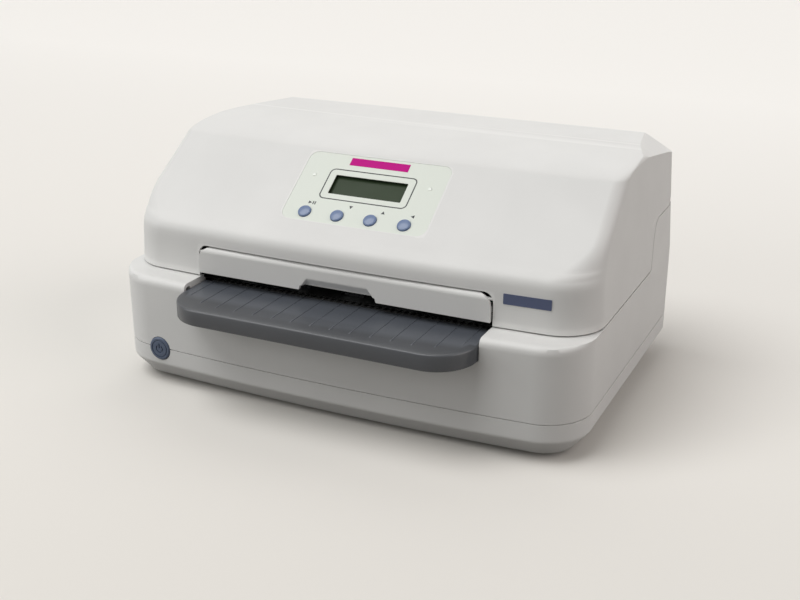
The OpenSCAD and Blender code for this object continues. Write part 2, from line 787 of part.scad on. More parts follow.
module carriage_motor() {
    color([0.16, 0.16, 0.17]) {
        difference() {
            translate([drive_x, belt_y, 76]) cylinder(h = 34, r = 18);
            translate([drive_x, belt_y, 78]) difference() {
                cylinder(h = 2, r = 19);
                translate([0, 0, -1]) cylinder(h = 4, r = 17.2);
            }
        }
        translate([drive_x, belt_y, 112 - eps]) difference() {
            cylinder(h = 0.5, r = 6);
            translate([0, 0, -1]) cylinder(h = 3, r = motor_shaft_r + fit);
        }
        difference() {
            box([drive_x - 20, belt_y - 20, 110], [-frame_x - frame_t, belt_y + 20, 112]);
            translate([drive_x, belt_y, 109]) cylinder(h = 4, r = motor_shaft_r + 1);
        }
    }
}

// ---------- Ribbon ----------

arm_inner = 134;
arm_outer = 146;
cartridge_front = rear_rod_y + 10;
cartridge_rear = rear_roller_y + 18;

module ribbon_cartridge() {
    color(dark_plastic)
    difference() {
        union() {
            box([-arm_outer, cartridge_front, 108], [arm_outer, cartridge_rear, 121]);
            box([-arm_outer + 2, cartridge_front + 2, 121 - eps], [arm_outer - 2, cartridge_rear - 2, 123]);
            for (side = [-1, 1]) along_x(side > 0 ? arm_inner : -arm_outer, side > 0 ? arm_outer : -arm_inner)
                polygon([[print_y - 7, path_z + 1.4], [print_y + 7, path_z + 1.4], [print_y + 18, 98],
                    [cartridge_front + 6, 98], [cartridge_front + 6, 112], [cartridge_front - 6, 109],
                    [print_y - 7, 106]]);
        }
        for (side = [-1, 1]) box([side * arm_inner - 3, print_y - 6.8, path_z + 1.9],
            [side * arm_inner + 3, print_y + 6.8, path_z + 2.5]);
        translate([-118, cartridge_rear - 16, 108]) cylinder(h = 20, r = 4);
        for (i = [0 : 9]) box([-80 + 16 * i, cartridge_front + 8, 122.2], [-70 + 16 * i, cartridge_rear - 8, 124]);
    }
}

module ribbon_band() {
    color([0.05, 0.05, 0.06])
    box([-arm_inner - 3, print_y - 6.5, path_z + 2.05], [arm_inner + 3, print_y + 6.5, path_z + 2.35]);
}

module ribbon_knob() {
    color(key_blue)
    translate([-118, cartridge_rear - 16, 0]) difference() {
        union() {
            translate([0, 0, 109]) cylinder(h = 15, r = 3.95);
            translate([0, 0, 123.3]) cylinder(h = 7, r = 8);
        }
        for (a = [0 : 30 : 359]) rotate([0, 0, a]) translate([8.4, 0, 124]) cylinder(h = 8, r = 1);
        translate([0, 0, 128.5]) cylinder(h = 4, r = 5);
    }
}

// ---------- Feed ----------

module shaft_bushes() {
    color(brass_tone)
    for (x = [-frame_x - frame_t - 1.5, frame_x - 1.5]) for (y = [front_roller_y, rear_roller_y]) difference() {
        union() {
            rod_x(x + (x > 0 ? 0 : 1.5), x + (x > 0 ? 3.5 : 5), y, roller_z, bush_r);
            rod_x(x > 0 ? frame_x - 1.5 : -frame_x, x > 0 ? frame_x : -frame_x + 1.5, y, roller_z, bush_r + 1);
        }
        rod_x(x - 1, x + 8, y, roller_z, shaft_r + fit);
    }
}

module feed_shaft(y) {
    color([0.82, 0.83, 0.84]) difference() {
        rod_x(-frame_x - 6, frame_x + 14, y, roller_z, shaft_r);
        rod_x(frame_x + 12, frame_x + 16, y, roller_z, 1);
    }
}

module feed_rollers(y) {
    color([0.12, 0.12, 0.13])
    for (x = roller_xs) difference() {
        rod_x(x - roller_l / 2, x + roller_l / 2, y, roller_z, roller_r);
        rod_x(x - roller_l / 2 - 1, x + roller_l / 2 + 1, y, roller_z, shaft_r);
        for (g = [-4.5, 0, 4.5]) difference() {
            rod_x(x + g - 0.5, x + g + 0.5, y, roller_z, roller_r + 1);
            rod_x(x + g - 1, x + g + 1, y, roller_z, roller_r - 0.6);
        }
    }
}

module pinch_rollers(y) {
    color([0.55, 0.56, 0.58]) {
        rod_x(-frame_x - 1, frame_x + 1, y, pinch_z, pinch_shaft_r);
        for (x = roller_xs) rod_x(x - roller_l / 2 + 2, x + roller_l / 2 - 2, y, pinch_z, pinch_r);
    }
}

module front_feed_shaft() { feed_shaft(front_roller_y); }
module front_feed_rollers() { feed_rollers(front_roller_y); }
module rear_feed_shaft() { feed_shaft(rear_roller_y); }
module rear_feed_rollers() { feed_rollers(rear_roller_y); }
module front_pinch_rollers() { pinch_rollers(front_roller_y); }
module rear_pinch_rollers() { pinch_rollers(rear_roller_y); }

// ---------- Gears ----------

pressure = 20;
gear_x0 = frame_x + 4;
gear_t = 6;
backlash = 0.22;
motor_axis = [print_y, motor_z];

function pitch_r(teeth) = gear_module * teeth / 2;

// Centre of a gear that meshes with two others, below the line between them
function between(a, b, ra, rb) =
    let (d = norm(b - a), u = (b - a) / d, s = (ra * ra - rb * rb + d * d) / (2 * d), h = sqrt(ra * ra - s * s))
    let (v = u.x > 0 ? [u.y, -u.x] : [-u.y, u.x]) a + s * u + h * v;

front_axis = [front_roller_y, roller_z];
rear_axis = [rear_roller_y, roller_z];
pinion_reach = pitch_r(pinion_teeth + idler_teeth);
roller_gear_reach = pitch_r(idler_teeth + roller_teeth);
front_idler = between(motor_axis, front_axis, pinion_reach, roller_gear_reach);
rear_idler = between(motor_axis, rear_axis, pinion_reach, roller_gear_reach);

function heading(a, b) = atan2(b.y - a.y, b.x - a.x);

// Turn of gear b that puts its gaps where gear a, turned by turn_a, has its teeth
function mesh(a, b, turn_a, na, nb) =
    let (h = heading(a, b)) h + 180 - 180 / nb + (h - turn_a) * na / nb;

// Angle that an involute has swept when it reaches radius r
function involute_angle(base, r) = let (p = acos(min(1, base / r))) tan(p) * 180 / PI - p;

// One tooth of an involute gear from its left root to its right root, about the angle 0
function tooth(teeth) =
    let (rp = pitch_r(teeth), base = rp * cos(pressure), root = rp - 1.2 * gear_module,
         tip = rp + 0.9 * gear_module, half = (90 / teeth) - backlash / rp * 45 / PI,
         at_pitch = involute_angle(base, rp), start = max(base, root + 0.1))
    let (flank = [for (k = [0 : 3]) let (r = start + (tip - start) * k / 3)
        [r, half + at_pitch - involute_angle(base, r)]])
    concat([[root, -(flank[0][1])]], [for (p = flank) [p[0], -p[1]]],
           [for (k = [3 : -1 : 0]) flank[k]], [[root, flank[0][1]]]);

module gear_outline(teeth, turn) {
    polygon([for (i = [0 : teeth - 1]) for (p = tooth(teeth))
        let (a = turn + 360 * i / teeth + p[1]) p[0] * [cos(a), sin(a)]]);
}

module gear(axis, teeth, turn, bore, lightened) {
    rp = pitch_r(teeth);
    along_x(gear_x0, gear_x0 + gear_t) translate(axis) difference() {
        gear_outline(teeth, turn);
        circle(bore);
        if (lightened) for (a = [0 : 60 : 300]) rotate(a + turn) translate([rp * 0.58, 0]) circle(rp * 0.2);
    }
}

pinion_turn = 0;
front_idler_turn = mesh(motor_axis, front_idler, pinion_turn, pinion_teeth, idler_teeth);
rear_idler_turn = mesh(motor_axis, rear_idler, pinion_turn, pinion_teeth, idler_teeth);
front_gear_turn = mesh(front_idler, front_axis, front_idler_turn, idler_teeth, roller_teeth);
rear_gear_turn = mesh(rear_idler, rear_axis, rear_idler_turn, idler_teeth, roller_teeth);
stud_r = 3;

module motor_pinion() {
    color(brass_tone) {
        gear(motor_axis, pinion_teeth, pinion_turn, 2.5, false);
        rod_x(frame_x + 0.3, gear_x0 + gear_t + 1, motor_axis.x, motor_axis.y, 2.5);
    }
}

module front_idler_gear() {
    color([0.88, 0.88, 0.85]) gear(front_idler, idler_teeth, front_idler_turn, stud_r + fit, true);
}

module rear_idler_gear() {
    color([0.88, 0.88, 0.85]) gear(rear_idler, idler_teeth, rear_idler_turn, stud_r + fit, true);
}

module front_roller_gear() {
    color([0.88, 0.88, 0.85]) gear(front_axis, roller_teeth, front_gear_turn, shaft_r, false);
}

module rear_roller_gear() {
    color([0.88, 0.88, 0.85]) gear(rear_axis, roller_teeth, rear_gear_turn, shaft_r, false);
}

module gear_studs() {
    color(steel)
    for (g = [front_idler, rear_idler]) {
        rod_x(frame_x, gear_x0 + gear_t + 2, g.x, g.y, stud_r);
        rod_x(frame_x + frame_t, gear_x0 - 0.4, g.x, g.y, stud_r + 1.5);
        rod_x(gear_x0 + gear_t + 0.4, gear_x0 + gear_t + 1.4, g.x, g.y, stud_r + 1.5);
    }
}

module feed_motor() {
    color([0.16, 0.16, 0.17]) {
        rod_x(frame_x - 38, frame_x - 2, print_y, motor_z, 19);
        rod_x(frame_x - 2 - eps, frame_x, print_y, motor_z, 20);
        difference() {
            rod_x(frame_x - eps, frame_x + 0.2, print_y, motor_z, 10);
            rod_x(frame_x - 1, frame_x + 1, print_y, motor_z, 4);
        }
    }
}

// ---------- Electronics ----------

board_z = pan_floor + 4;

module main_board() {
    color(board_green) {
        box([-50, -20, board_z], [138, 118, board_z + 1.6]);
        for (p = [[-44, -14], [132, -14], [-44, 112], [132, 112]])
            translate([p.x, p.y, pan_floor]) cylinder(h = 4 + eps, r = 3);
    }
    color(dark_plastic) {
        box([20, 20, board_z + 1.6 - eps], [48, 48, board_z + 4]);
        box([64, 22, board_z + 1.6 - eps], [88, 34, board_z + 4]);
        box([-30, 10, board_z + 1.6 - eps], [-18, 60, board_z + 12]);
        for (x = [0 : 14 : 84]) box([x, -12, board_z + 1.6 - eps], [x + 8, -6, board_z + 9]);
        for (x = [60, 78, 96]) translate([x, 70, board_z + 1.6 - eps]) cylinder(h = 16, r = 6);
    }
}

module power_supply() {
    color([0.62, 0.63, 0.64])
    difference() {
        box([-142, 24, pan_floor], [-66, 127, pan_floor + 46]);
        for (i = [0 : 8]) box([-136 + 8 * i, 34, pan_floor + 44.5], [-132 + 8 * i, 117, pan_floor + 50]);
        for (i = [0 : 5]) box([-145, 40 + 14 * i, pan_floor + 8], [-140.5, 47 + 14 * i, pan_floor + 38]);
    }
}

// Appliance inlet: a recess with three blades
module power_inlet() {
    color(dark_plastic)
    difference() {
        union() {
            box([inlet_x - 14, rear_y - 22, port_z - 11], [inlet_x + 14, rear_y - 0.5, port_z + 11]);
            box([inlet_x - 17, rear_y - 22, port_z - 13], [inlet_x + 17, rear_y - wall, port_z + 13]);
        }
        translate([inlet_x, rear_y + 1, port_z]) rotate([90, 0, 0]) linear_extrude(19)
            polygon([[-12, -8], [12, -8], [12, 4], [8, 8], [-8, 8], [-12, 4]]);
    }
    color(steel)
    for (p = [[-7, -2], [0, 2], [7, -2]])
        box([inlet_x + p.x - 1, rear_y - 18 - eps, port_z + p.y - 2], [inlet_x + p.x + 1, rear_y - 7, port_z + p.y + 2]);
}

module usb_port() {
    color(steel)
    difference() {
        box([usb_x - 6, rear_y - 17, port_z - 5.4], [usb_x + 6, rear_y - 0.5, port_z + 5.4]);
        box([usb_x - 4.3, rear_y - 10, port_z - 3.9], [usb_x + 4.3, rear_y, port_z + 3.9]);
    }
    color(dark_plastic)
    box([usb_x - 2.8, rear_y - 10 - eps, port_z - 1.6], [usb_x + 2.8, rear_y - 5.6, port_z + 1.6]);
}

module parallel_port() {
    color(steel)
    difference() {
        union() {
            box([parallel_x - 37, rear_y - 8, port_z - 9.5], [parallel_x + 37, rear_y - wall, port_z + 9.5]);
            box([parallel_x - 28, rear_y - 9, port_z - 6], [parallel_x + 28, rear_y - 0.5, port_z + 6]);
        }
        box([parallel_x - 26.5, rear_y - 8, port_z - 4.5], [parallel_x + 26.5, rear_y, port_z + 4.5]);
    }
    color(dark_plastic)
    box([parallel_x - 22, rear_y - 8 - eps, port_z - 1.4], [parallel_x + 22, rear_y - 5.6, port_z + 1.4]);
}

module power_button() {
    color(key_blue)
    translate([button_x, button_front - 1.6, button_z]) rotate([-90, 0, 0]) difference() {
        rotate_extrude() polygon([[0, 0], [button_r - 1.6, 0], [button_r - 0.5, 0.5], [button_r, 1.6],
            [button_r, 14], [0, 14]]);
        translate([0, 0, -1]) rotate_extrude() difference() {
            translate([button_r - 3.2, 0]) square([0.9, 1.6]);
        }
    }
}

// ---------- Cover ----------

module top_cover() {
    color(warm_white)
    difference() {
        union() {
            difference() {
                cover_solid(0);
                cover_solid(wall);
            }
            for (side = [-1, 1]) cover_knuckle(side);
            panel_posts();
            flap_lugs();
            cover_ribs();
        }
        // everything under the seam
        along_x(-half_w - 5, half_w + 5) polygon(concat([[seam_foot.x - 40, cover_z]],
            [for (p = seam_curve) p + [-0.75 * seam_gap, seam_gap]],
            [[rear_y + 9, rear_rim_z + seam_gap], [rear_y + 9, 60], [seam_foot.x - 40, 60]]));
        rear_edge_round();
        flap_opening();
        on_slope() {
            translate([0, panel_mid, 0]) rounded_plate(panel_w, panel_h, 8, -panel_depth, 5);
            translate([0, lcd_mid, 0]) rounded_plate(lcd_w + 4, lcd_h + 4, 1.5, -10, 5);
            for (i = [1 : 4]) translate([key_x(i), key_v, -10]) cylinder(h = 20, r = key_r + 0.4);
            for (x = [-light_x, light_x]) translate([x, light_v, -10]) cylinder(h = 20, r = 1.6);
        }
        for (side = [-1, 1]) rod_x(side * 187 - 10, side * 187 + 10, hinge_y, hinge_z, hinge_pin_r);
        flap_pin_holes();
    }
}

// The rear lower edge turns about the hinge, so it is cut to a circle round the hinge axis
module rear_edge_round() {
    r = rear_y - hinge_y;
    difference() {
        box([-half_w - 1, hinge_y, rear_rim_z - 5], [half_w + 1, rear_y + 5, hinge_z]);
        rod_x(-half_w - 2, half_w + 2, hinge_y, hinge_z, r);
    }
}

// Knuckle beside each hinge arm, webbed to the cover's rear wall
module cover_knuckle(side) {
    x0 = side > 0 ? knuckle_x0 : -arm_x0 + 0.5;
    w = arm_x0 - 0.5 - knuckle_x0;
    rod_x(x0, x0 + w, hinge_y, hinge_z, 6);
    box([x0, hinge_y, hinge_z - 2], [x0 + w, rear_y - wall + eps, hinge_z + 14]);
    along_x(x0 + w / 2 - 1.5, x0 + w / 2 + 1.5)
        polygon([[hinge_y - 5, hinge_z], [hinge_y, hinge_z + 30], [rear_y - wall + eps, hinge_z + 34],
            [rear_y - wall + eps, hinge_z]]);
}

module panel_posts() {
    on_slope() for (x = [-58, 58]) for (v = [26, 86])
        translate([x, v, -12]) boss(12 - wall + 0.5, 3, 1.1);
}

module flap_lugs() {
    for (x0 = [-lug_x - lug_w, lug_x])
        box([x0, lug_front, flap_axis_z - 3.5], [x0 + lug_w, flap_axis_y + 3, flap_axis_z + 12]);
}

module flap_pin_holes() {
    for (side = [-1, 1])
        rod_x(side > 0 ? lug_x - 2 : -flap_pin_end - 0.5, side > 0 ? flap_pin_end + 0.5 : 2 - lug_x,
            flap_axis_y, flap_axis_z, flap_pin_r + fit);
}

// Stiffening ribs under the top
module cover_ribs() {
    intersection() {
        union() {
            for (x = [-150, -90, 90, 150]) along_x(x - 1, x + 1)
                polygon([[20, 199], [30, 192], [130, 191], [rear_y - 1, 180], [rear_y - 1, 202], [20, 203]]);
            for (y = [60, 110]) box([-192, y - 1, 191], [192, y + 1, 203]);
        }
        cover_solid(wall - 0.5);
    }
}

module flap_opening() {
    r = flap_open_corner;
    half = flap_open_w / 2;
    translate([0, cover_front - 6, 0]) rotate([-90, 0, 0]) linear_extrude(12) mirror([0, 1]) {
        translate([-half, cover_z - 5]) square([2 * half, flap_open_top - r - cover_z + 5]);
        translate([r - half, cover_z]) square([2 * (half - r), flap_open_top - cover_z]);
        for (side = [-1, 1]) translate([side * (half - r), flap_open_top - r]) circle(r);
    }
}

module hinge_pins() {
    color(steel)
    for (side = [-1, 1]) rod_x(side > 0 ? knuckle_x0 + 1 : -arm_x1, side > 0 ? arm_x1 : -knuckle_x0 - 1,
        hinge_y, hinge_z, hinge_pin_r);
}

scoop_top = 111;
scoop_lip = 105;
scoop_half = 35;

module front_flap() {
    corner = flap_corner;
    top = flap_axis_z + flap_r;
    color(warm_white) {
        difference() {
            intersection() {
                union() {
                    box([-flap_w / 2, cover_front, flap_z], [flap_w / 2, cover_front + wall, flap_axis_z]);
                    difference() {
                        rod_x(-flap_w / 2, flap_w / 2, flap_axis_y, flap_axis_z, flap_r);
                        box([-flap_w, flap_axis_y, 0], [flap_w, flap_axis_y + 9, 200]);
                        box([-flap_w, flap_axis_y - 3, 0], [flap_w, flap_axis_y + 1, flap_axis_z]);
                    }
                    box([-scoop_half - 2, cover_front + wall - eps, scoop_lip],
                        [scoop_half + 2, cover_front + wall + 2, scoop_top + 3]);
                }
                translate([0, cover_front - 1, 0]) rotate([-90, 0, 0]) linear_extrude(14) mirror([0, 1]) {
                    translate([-flap_w / 2, flap_z]) square([flap_w, top - corner - flap_z]);
                    translate([-flap_w / 2 + corner, flap_z]) square([flap_w - 2 * corner, top - flap_z]);
                    for (x = [-1, 1]) translate([x * (flap_w / 2 - corner), top - corner]) circle(corner);
                }
            }
            finger_scoop();
        }
        for (side = [-1, 1]) {
            x0 = side > 0 ? 122 : -125;
            box([x0, cover_front + wall - eps, flap_axis_z - 8], [x0 + 3, flap_axis_y + 1.4, flap_axis_z + 1.4]);
            rod_x(side > 0 ? 122 : -flap_pin_end, side > 0 ? flap_pin_end : -122,
                flap_axis_y, flap_axis_z, flap_pin_r);
        }
    }
}

// Trapezoidal finger scoop in the flap's lower edge, deepening downwards
module finger_scoop() {
    top_half = 28;
    intersection() {
        along_x(-scoop_half - 1, scoop_half + 1) polygon([[cover_front - 1, scoop_top + 0.4],
            [cover_front, scoop_top], [cover_front + 2.4, scoop_lip], [cover_front + 9, scoop_lip],
            [cover_front + 9, flap_z - 2], [cover_front - 1, flap_z - 2]]);
        translate([0, cover_front - 4, 0]) rotate([-90, 0, 0]) linear_extrude(20) mirror([0, 1])
            polygon([[-scoop_half, flap_z - 3], [-scoop_half, flap_z], [-top_half, scoop_top + 1],
                [top_half, scoop_top + 1], [scoop_half, flap_z], [scoop_half, flap_z - 3]]);
    }
}

// ---------- Control panel ----------

module control_panel() {
    color([0.84, 0.86, 0.82])
    on_slope() difference() {
        translate([0, panel_mid, 0]) rounded_plate(panel_w - 0.6, panel_h - 0.6, 7.7, -panel_depth, -0.15);
        translate([0, lcd_mid, 0]) rounded_plate(lcd_w, lcd_h, 0.8, -2, 2);
        for (i = [1 : 4]) translate([key_x(i), key_v, -3]) cylinder(h = 6, r = key_r + 0.4);
        for (x = [-light_x, light_x]) translate([x, light_v, -3]) cylinder(h = 6, r = 1.6);
    }
}

module display_window() {
    color([0.10, 0.14, 0.10, 0.6])
    on_slope() translate([0, lcd_mid, 0]) rounded_plate(lcd_w + 10, lcd_h + 10, 1.5, wall_back - 1, wall_back);
}

module display_module() {
    color([0.20, 0.25, 0.19])
    on_slope() translate([0, lcd_mid, 0]) {
        rounded_plate(lcd_w + 6, lcd_h + 6, 1, wall_back - 7, wall_back - 1);
        rounded_plate(lcd_w + 10, lcd_h + 12, 1, -12, wall_back - 7 + eps);
    }
}

module panel_board() {
    color(board_green)
    on_slope() {
        difference() {
            translate([0, 55, 0]) rounded_plate(126, 70, 2, -13.6, -12);
            for (x = [-58, 58]) for (v = [26, 86]) translate([x, v, -15]) cylinder(h = 5, r = 1.1);
        }
        for (i = [1 : 4]) translate([key_x(i), key_v, -12 - eps]) {
            rounded_plate(6, 6, 0.6, 0, 3.4);
            cylinder(h = 4.4, r = 1.7);
        }
    }
}

module status_lights() {
    color([0.75, 0.85, 0.70])
    on_slope() for (x = [-light_x, light_x]) translate([x, light_v, -12]) cylinder(h = 12, r = 1.5);
}

// Domed round key with a flange that holds it behind the cover
module panel_key(i) {
    color(key_blue)
    on_slope() translate([key_x(i), key_v, 0]) rotate_extrude() polygon(concat(
        [[0, -6], [key_r + 1.2, -6], [key_r + 1.2, -4.6], [key_r, -4.6], [key_r, 0.6]],
        [for (a = [15 : 15 : 90]) [(key_r - 1) + cos(a), 0.6 + sin(a) * 0.9] ],
        [[0, 1.8]]));
}

module key_1() { panel_key(1); }
module key_2() { panel_key(2); }
module key_3() { panel_key(3); }
module key_4() { panel_key(4); }

bottom_pan();
rubber_feet();
lower_case();
case_screws();
document_table();
table_comb();
side_frame_left();
side_frame_right();
rear_crossbar();
lower_guide();
upper_guide();
platen_beam();
platen();
guide_rod_rear();
guide_rod_front();
sensor_bar();
carriage();
print_head();
timing_belt();
drive_pulley();
idler_pulley();
belt_tensioner();
carriage_motor();
ribbon_cartridge();
ribbon_band();
ribbon_knob();
shaft_bushes();
front_feed_shaft();
front_feed_rollers();
rear_feed_shaft();
rear_feed_rollers();
front_pinch_rollers();
rear_pinch_rollers();
feed_motor();
motor_pinion();
front_idler_gear();
rear_idler_gear();
gear_studs();
front_roller_gear();
rear_roller_gear();
main_board();
power_supply();
power_inlet();
usb_port();
parallel_port();
power_button();
top_cover();
hinge_pins();
front_flap();
control_panel();
display_window();
display_module();
panel_board();
status_lights();
key_1();
key_2();
key_3();
key_4();
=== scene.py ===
"""Looks of a flat-bed dot matrix printer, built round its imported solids.

Lengths inside the shape functions are millimetres in the frame of the solids: X to the right, Y to the
back, Z up, with the origin on the standing surface. They become metres where a mesh is made.
"""

import math

import bpy
import numpy as np
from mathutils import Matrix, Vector


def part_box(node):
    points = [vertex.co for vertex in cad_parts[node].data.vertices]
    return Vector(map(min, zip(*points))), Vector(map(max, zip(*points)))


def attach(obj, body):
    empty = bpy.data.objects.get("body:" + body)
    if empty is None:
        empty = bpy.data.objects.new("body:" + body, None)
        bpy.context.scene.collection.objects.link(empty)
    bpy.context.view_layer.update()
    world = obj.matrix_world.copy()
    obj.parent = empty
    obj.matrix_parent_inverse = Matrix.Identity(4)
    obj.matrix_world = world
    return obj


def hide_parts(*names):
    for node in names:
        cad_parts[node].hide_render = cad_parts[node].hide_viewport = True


bl_info = {
    "name": "Flat-bed printer looks",
    "version": (1, 0, 0),
    "blender": (4, 5, 0),
    "location": "View3D > Sidebar > Printer",
    "description": "Builds the shells, panel and finishes of a flat-bed dot matrix printer",
    "category": "Object",
}

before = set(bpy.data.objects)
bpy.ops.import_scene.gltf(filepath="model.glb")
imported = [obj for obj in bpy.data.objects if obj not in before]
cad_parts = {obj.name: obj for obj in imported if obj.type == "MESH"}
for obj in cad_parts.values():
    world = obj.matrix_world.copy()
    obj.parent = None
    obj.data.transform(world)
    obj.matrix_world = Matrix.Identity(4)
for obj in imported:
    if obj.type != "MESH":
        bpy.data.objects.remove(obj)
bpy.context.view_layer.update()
MM = 0.001


def node_box(node):
    """Lowest and highest corner of a solid, in millimetres."""
    low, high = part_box(node)
    return np.array(low) / MM, np.array(high) / MM


# ---------- Sizes of the shells, from the solids where they give them ----------

CASE_LOW, CASE_HIGH = node_box("lower_case")
PAN_LOW, PAN_HIGH = node_box("bottom_pan")
TABLE_LOW, TABLE_HIGH = node_box("document_table")
COVER_HIGH = node_box("top_cover")[1]

HALF_W = CASE_HIGH[0]
REAR_Y = CASE_HIGH[1]
FRONT_Y = CASE_LOW[1]
PAN_TOP = PAN_HIGH[2]
FOOT_H = PAN_LOW[2]
WALL = 3.0
CASE_CORNER = 39.5
CASE_BOW = 2650.0
COVER_BOW = 3600.0
COVER_CORNER = 37.0
REAR_ROUND = 4.0
GROOVE = 0.8
CORNER_LOW = 138.0
CORNER_HIGH = 165.0
LEDGE_Z = 96.8
LEDGE_ROUND = 4.6
REAR_RIM_Z = 138.3
COVER_Z = 98.0
BODY_H = 203.7
COVER_FRONT = FRONT_Y + 26.0
SLOPE = math.radians(35.0)
CREASE = np.array([COVER_FRONT + 4.5, 139.5])
UP_SLOPE = np.array([math.cos(SLOPE), math.sin(SLOPE)])
OUT_OF_SLOPE = np.array([-math.sin(SLOPE), math.cos(SLOPE)])
SLOPE_LENGTH = 98.0
CREST_Y = 84.0
TOP_Z = COVER_HIGH[2]
SHOULDER_Z = 186.4
SIDE_TOP_Z = 198.7
REAR_TOP_Z = 200.4
SIDE_DRAFT = 0.061
EDGE_R = 5.5
SLOPE_EDGE = 10.0
SOFT_START = 0.15
HINGE = np.array([REAR_Y - 11.0, 150.0])
HINGE_R = 11.0
SEAM_GAP = 0.9

# ---------- Grids and shells ----------


def lines(stops, steps):
    """Grid lines through the stops, about a step apart between one stop and the next."""
    parts = [
        np.linspace(a, b, max(1, round((b - a) / step)) + 1)[:-1]
        for a, b, step in zip(stops, stops[1:], steps)
    ]
    return np.concatenate(parts + [[stops[-1]]])


def mirrored(half):
    """Grid lines on both sides of zero, from those on the positive side."""
    return np.concatenate([-half[:0:-1], half])


def lattice(rows, columns, closed_rows=False, closed_columns=False):
    """Quads of an array of points, rows by columns, that goes round where it is closed."""
    i, j = np.meshgrid(
        np.arange(rows if closed_rows else rows - 1), np.arange(columns if closed_columns else columns - 1),
        indexing="ij",
    )
    i, j = i.reshape(-1), j.reshape(-1)
    i2, j2 = (i + 1) % rows, (j + 1) % columns
    return np.stack([i * columns + j, i2 * columns + j, i2 * columns + j2, i * columns + j2], 1)


FLIPPED = [0, 3, 2, 1]  # order of a quad's corners that turns it to face the other way


def nearest_on_outline(points, opening):
    """Nearest points of a rounded rectangle: clamp to the rectangle of its corner centres, then step out by
    the corner radius towards the point."""
    cu, cv, half_u, half_v, r = opening[:5]
    centre = np.array([cu, cv])
    reach = np.array([half_u - r, half_v - r])
    core = centre + np.clip(points - centre, -reach, reach)
    away = points - core
    return core + r * away / np.maximum(np.linalg.norm(away, axis=1, keepdims=True), 1e-9)


def smooth(share):
    """Share held between 0 and 1, eased at both ends: 3 s squared less 2 s cubed."""
    s = np.clip(share, 0, 1)
    return s * s * (3 - 2 * s)


def grid_with_openings(us, vs, openings, rows=3):
    """Quads of the grid us by vs. Each opening's block of cells is swapped for rows of quads that run from
    the block's rim to the opening's outline.

    An opening is (middle u, middle v, half width, half height, corner radius, margin, open side), and the
    open side is "" for a hole, or "low" or "high" for a notch in the grid's lowest or highest edge.
    """
    nv = len(vs)
    grid = np.stack(np.meshgrid(us, vs, indexing="ij"), -1).reshape(-1, 2)
    keep = np.ones((len(us) - 1, nv - 1), bool)
    points, quads = [grid], []
    count = len(grid)
    for opening in openings:
        cu, cv, half_u, half_v, r, margin, side = opening
        i0, i1 = (int(np.argmin(abs(us - u))) for u in (cu - half_u - margin, cu + half_u + margin))
        j0, j1 = (int(np.argmin(abs(vs - v))) for v in (cv - half_v - margin, cv + half_v + margin))
        keep[i0:i1, j0:j1] = False
        left = i0 * nv + np.arange(j0, j1)
        top = np.arange(i0, i1) * nv + j1
        right = i1 * nv + np.arange(j1, j0, -1)
        bottom = np.arange(i1, i0, -1) * nv + j0
        last = {"low": [i1 * nv + j0], "high": [i0 * nv + j1], "": []}[side]
        notches = {"low": [left, top, right], "high": [right, bottom, left]}
        sides = notches.get(side, [left, top, right, bottom])
        rim = np.concatenate([*sides, np.array(last, int)])
        outline = nearest_on_outline(grid[rim], opening)
        if side:
            edge = grid[rim[0], 1]
            reach = half_u - r + math.sqrt(max(r * r - max(abs(edge - cv) - half_v + r, 0) ** 2, 0))
            outline[0] = [cu - reach if side == "low" else cu + reach, edge]
            outline[-1] = [cu + reach if side == "low" else cu - reach, edge]
        ids = rim
        for k in range(1, rows + 1):
            points.append(grid[rim] + (outline - grid[rim]) * k / rows)
            inner = count + np.arange(len(rim))
            count += len(rim)
            ring = np.stack([ids, inner, np.roll(inner, -1), np.roll(ids, -1)], 1)
            quads.append(ring[:-1] if side else ring)
            ids = inner
    quads.append(lattice(len(us), nv)[keep.reshape(-1)])
    points, quads = np.concatenate(points), np.concatenate(quads)
    used, quads = np.unique(quads, return_inverse=True)
    return points[used], quads.reshape(-1, 4)


def weld(points, quads, grain=1e-4):
    """Joins points that fall in the same cell of a fine lattice."""
    _, first, back = np.unique(np.round(points / grain), axis=0, return_index=True, return_inverse=True)
    return points[first], back.reshape(-1)[quads]


def vertex_normals(points, quads):
    """Mean of the neighbouring quads' normals, each the cross product of the quad's diagonals."""
    p = points[quads]
    cross = np.cross(p[:, 2] - p[:, 0], p[:, 3] - p[:, 1])
    total = np.zeros_like(points)
    for k in range(4):
        np.add.at(total, quads[:, k], cross)
    return total / np.maximum(np.linalg.norm(total, axis=1, keepdims=True), 1e-12)


def open_edges(quads):
    """Directed edges that only one quad has."""
    edges = np.concatenate([quads[:, [k, (k + 1) % 4]] for k in range(4)])
    edges = edges[edges[:, 0] != edges[:, 1]]
    size = quads.max() + 1
    key, reverse = edges[:, 0] * size + edges[:, 1], edges[:, 1] * size + edges[:, 0]
    return edges[~np.isin(key, reverse)]


def closed(points, inner, quads, cap=None):
    """A sheet and its inner copy, joined round every open edge. A cap is the loop of points, anticlockwise
    from outside, of a level hole that one flat face closes on each sheet."""
    edges = open_edges(quads)
    n = len(points)
    flat = []
    if cap is not None:
        edges = edges[~np.isin(edges, cap).all(axis=1)]
        flat = [cap.tolist(), (cap[::-1] + n).tolist()]
    rim = np.stack([edges[:, 1], edges[:, 0], edges[:, 0] + n, edges[:, 1] + n], 1)
    faces = np.concatenate([quads, quads[:, ::-1] + n, rim])
    return np.concatenate([points, inner]), [*faces.tolist(), *flat]


def shell(points, quads, wall, cap=None):
    """A sheet and its copy one wall further in along the normals, closed."""
    return closed(points, points - wall * vertex_normals(points, quads), quads, cap)


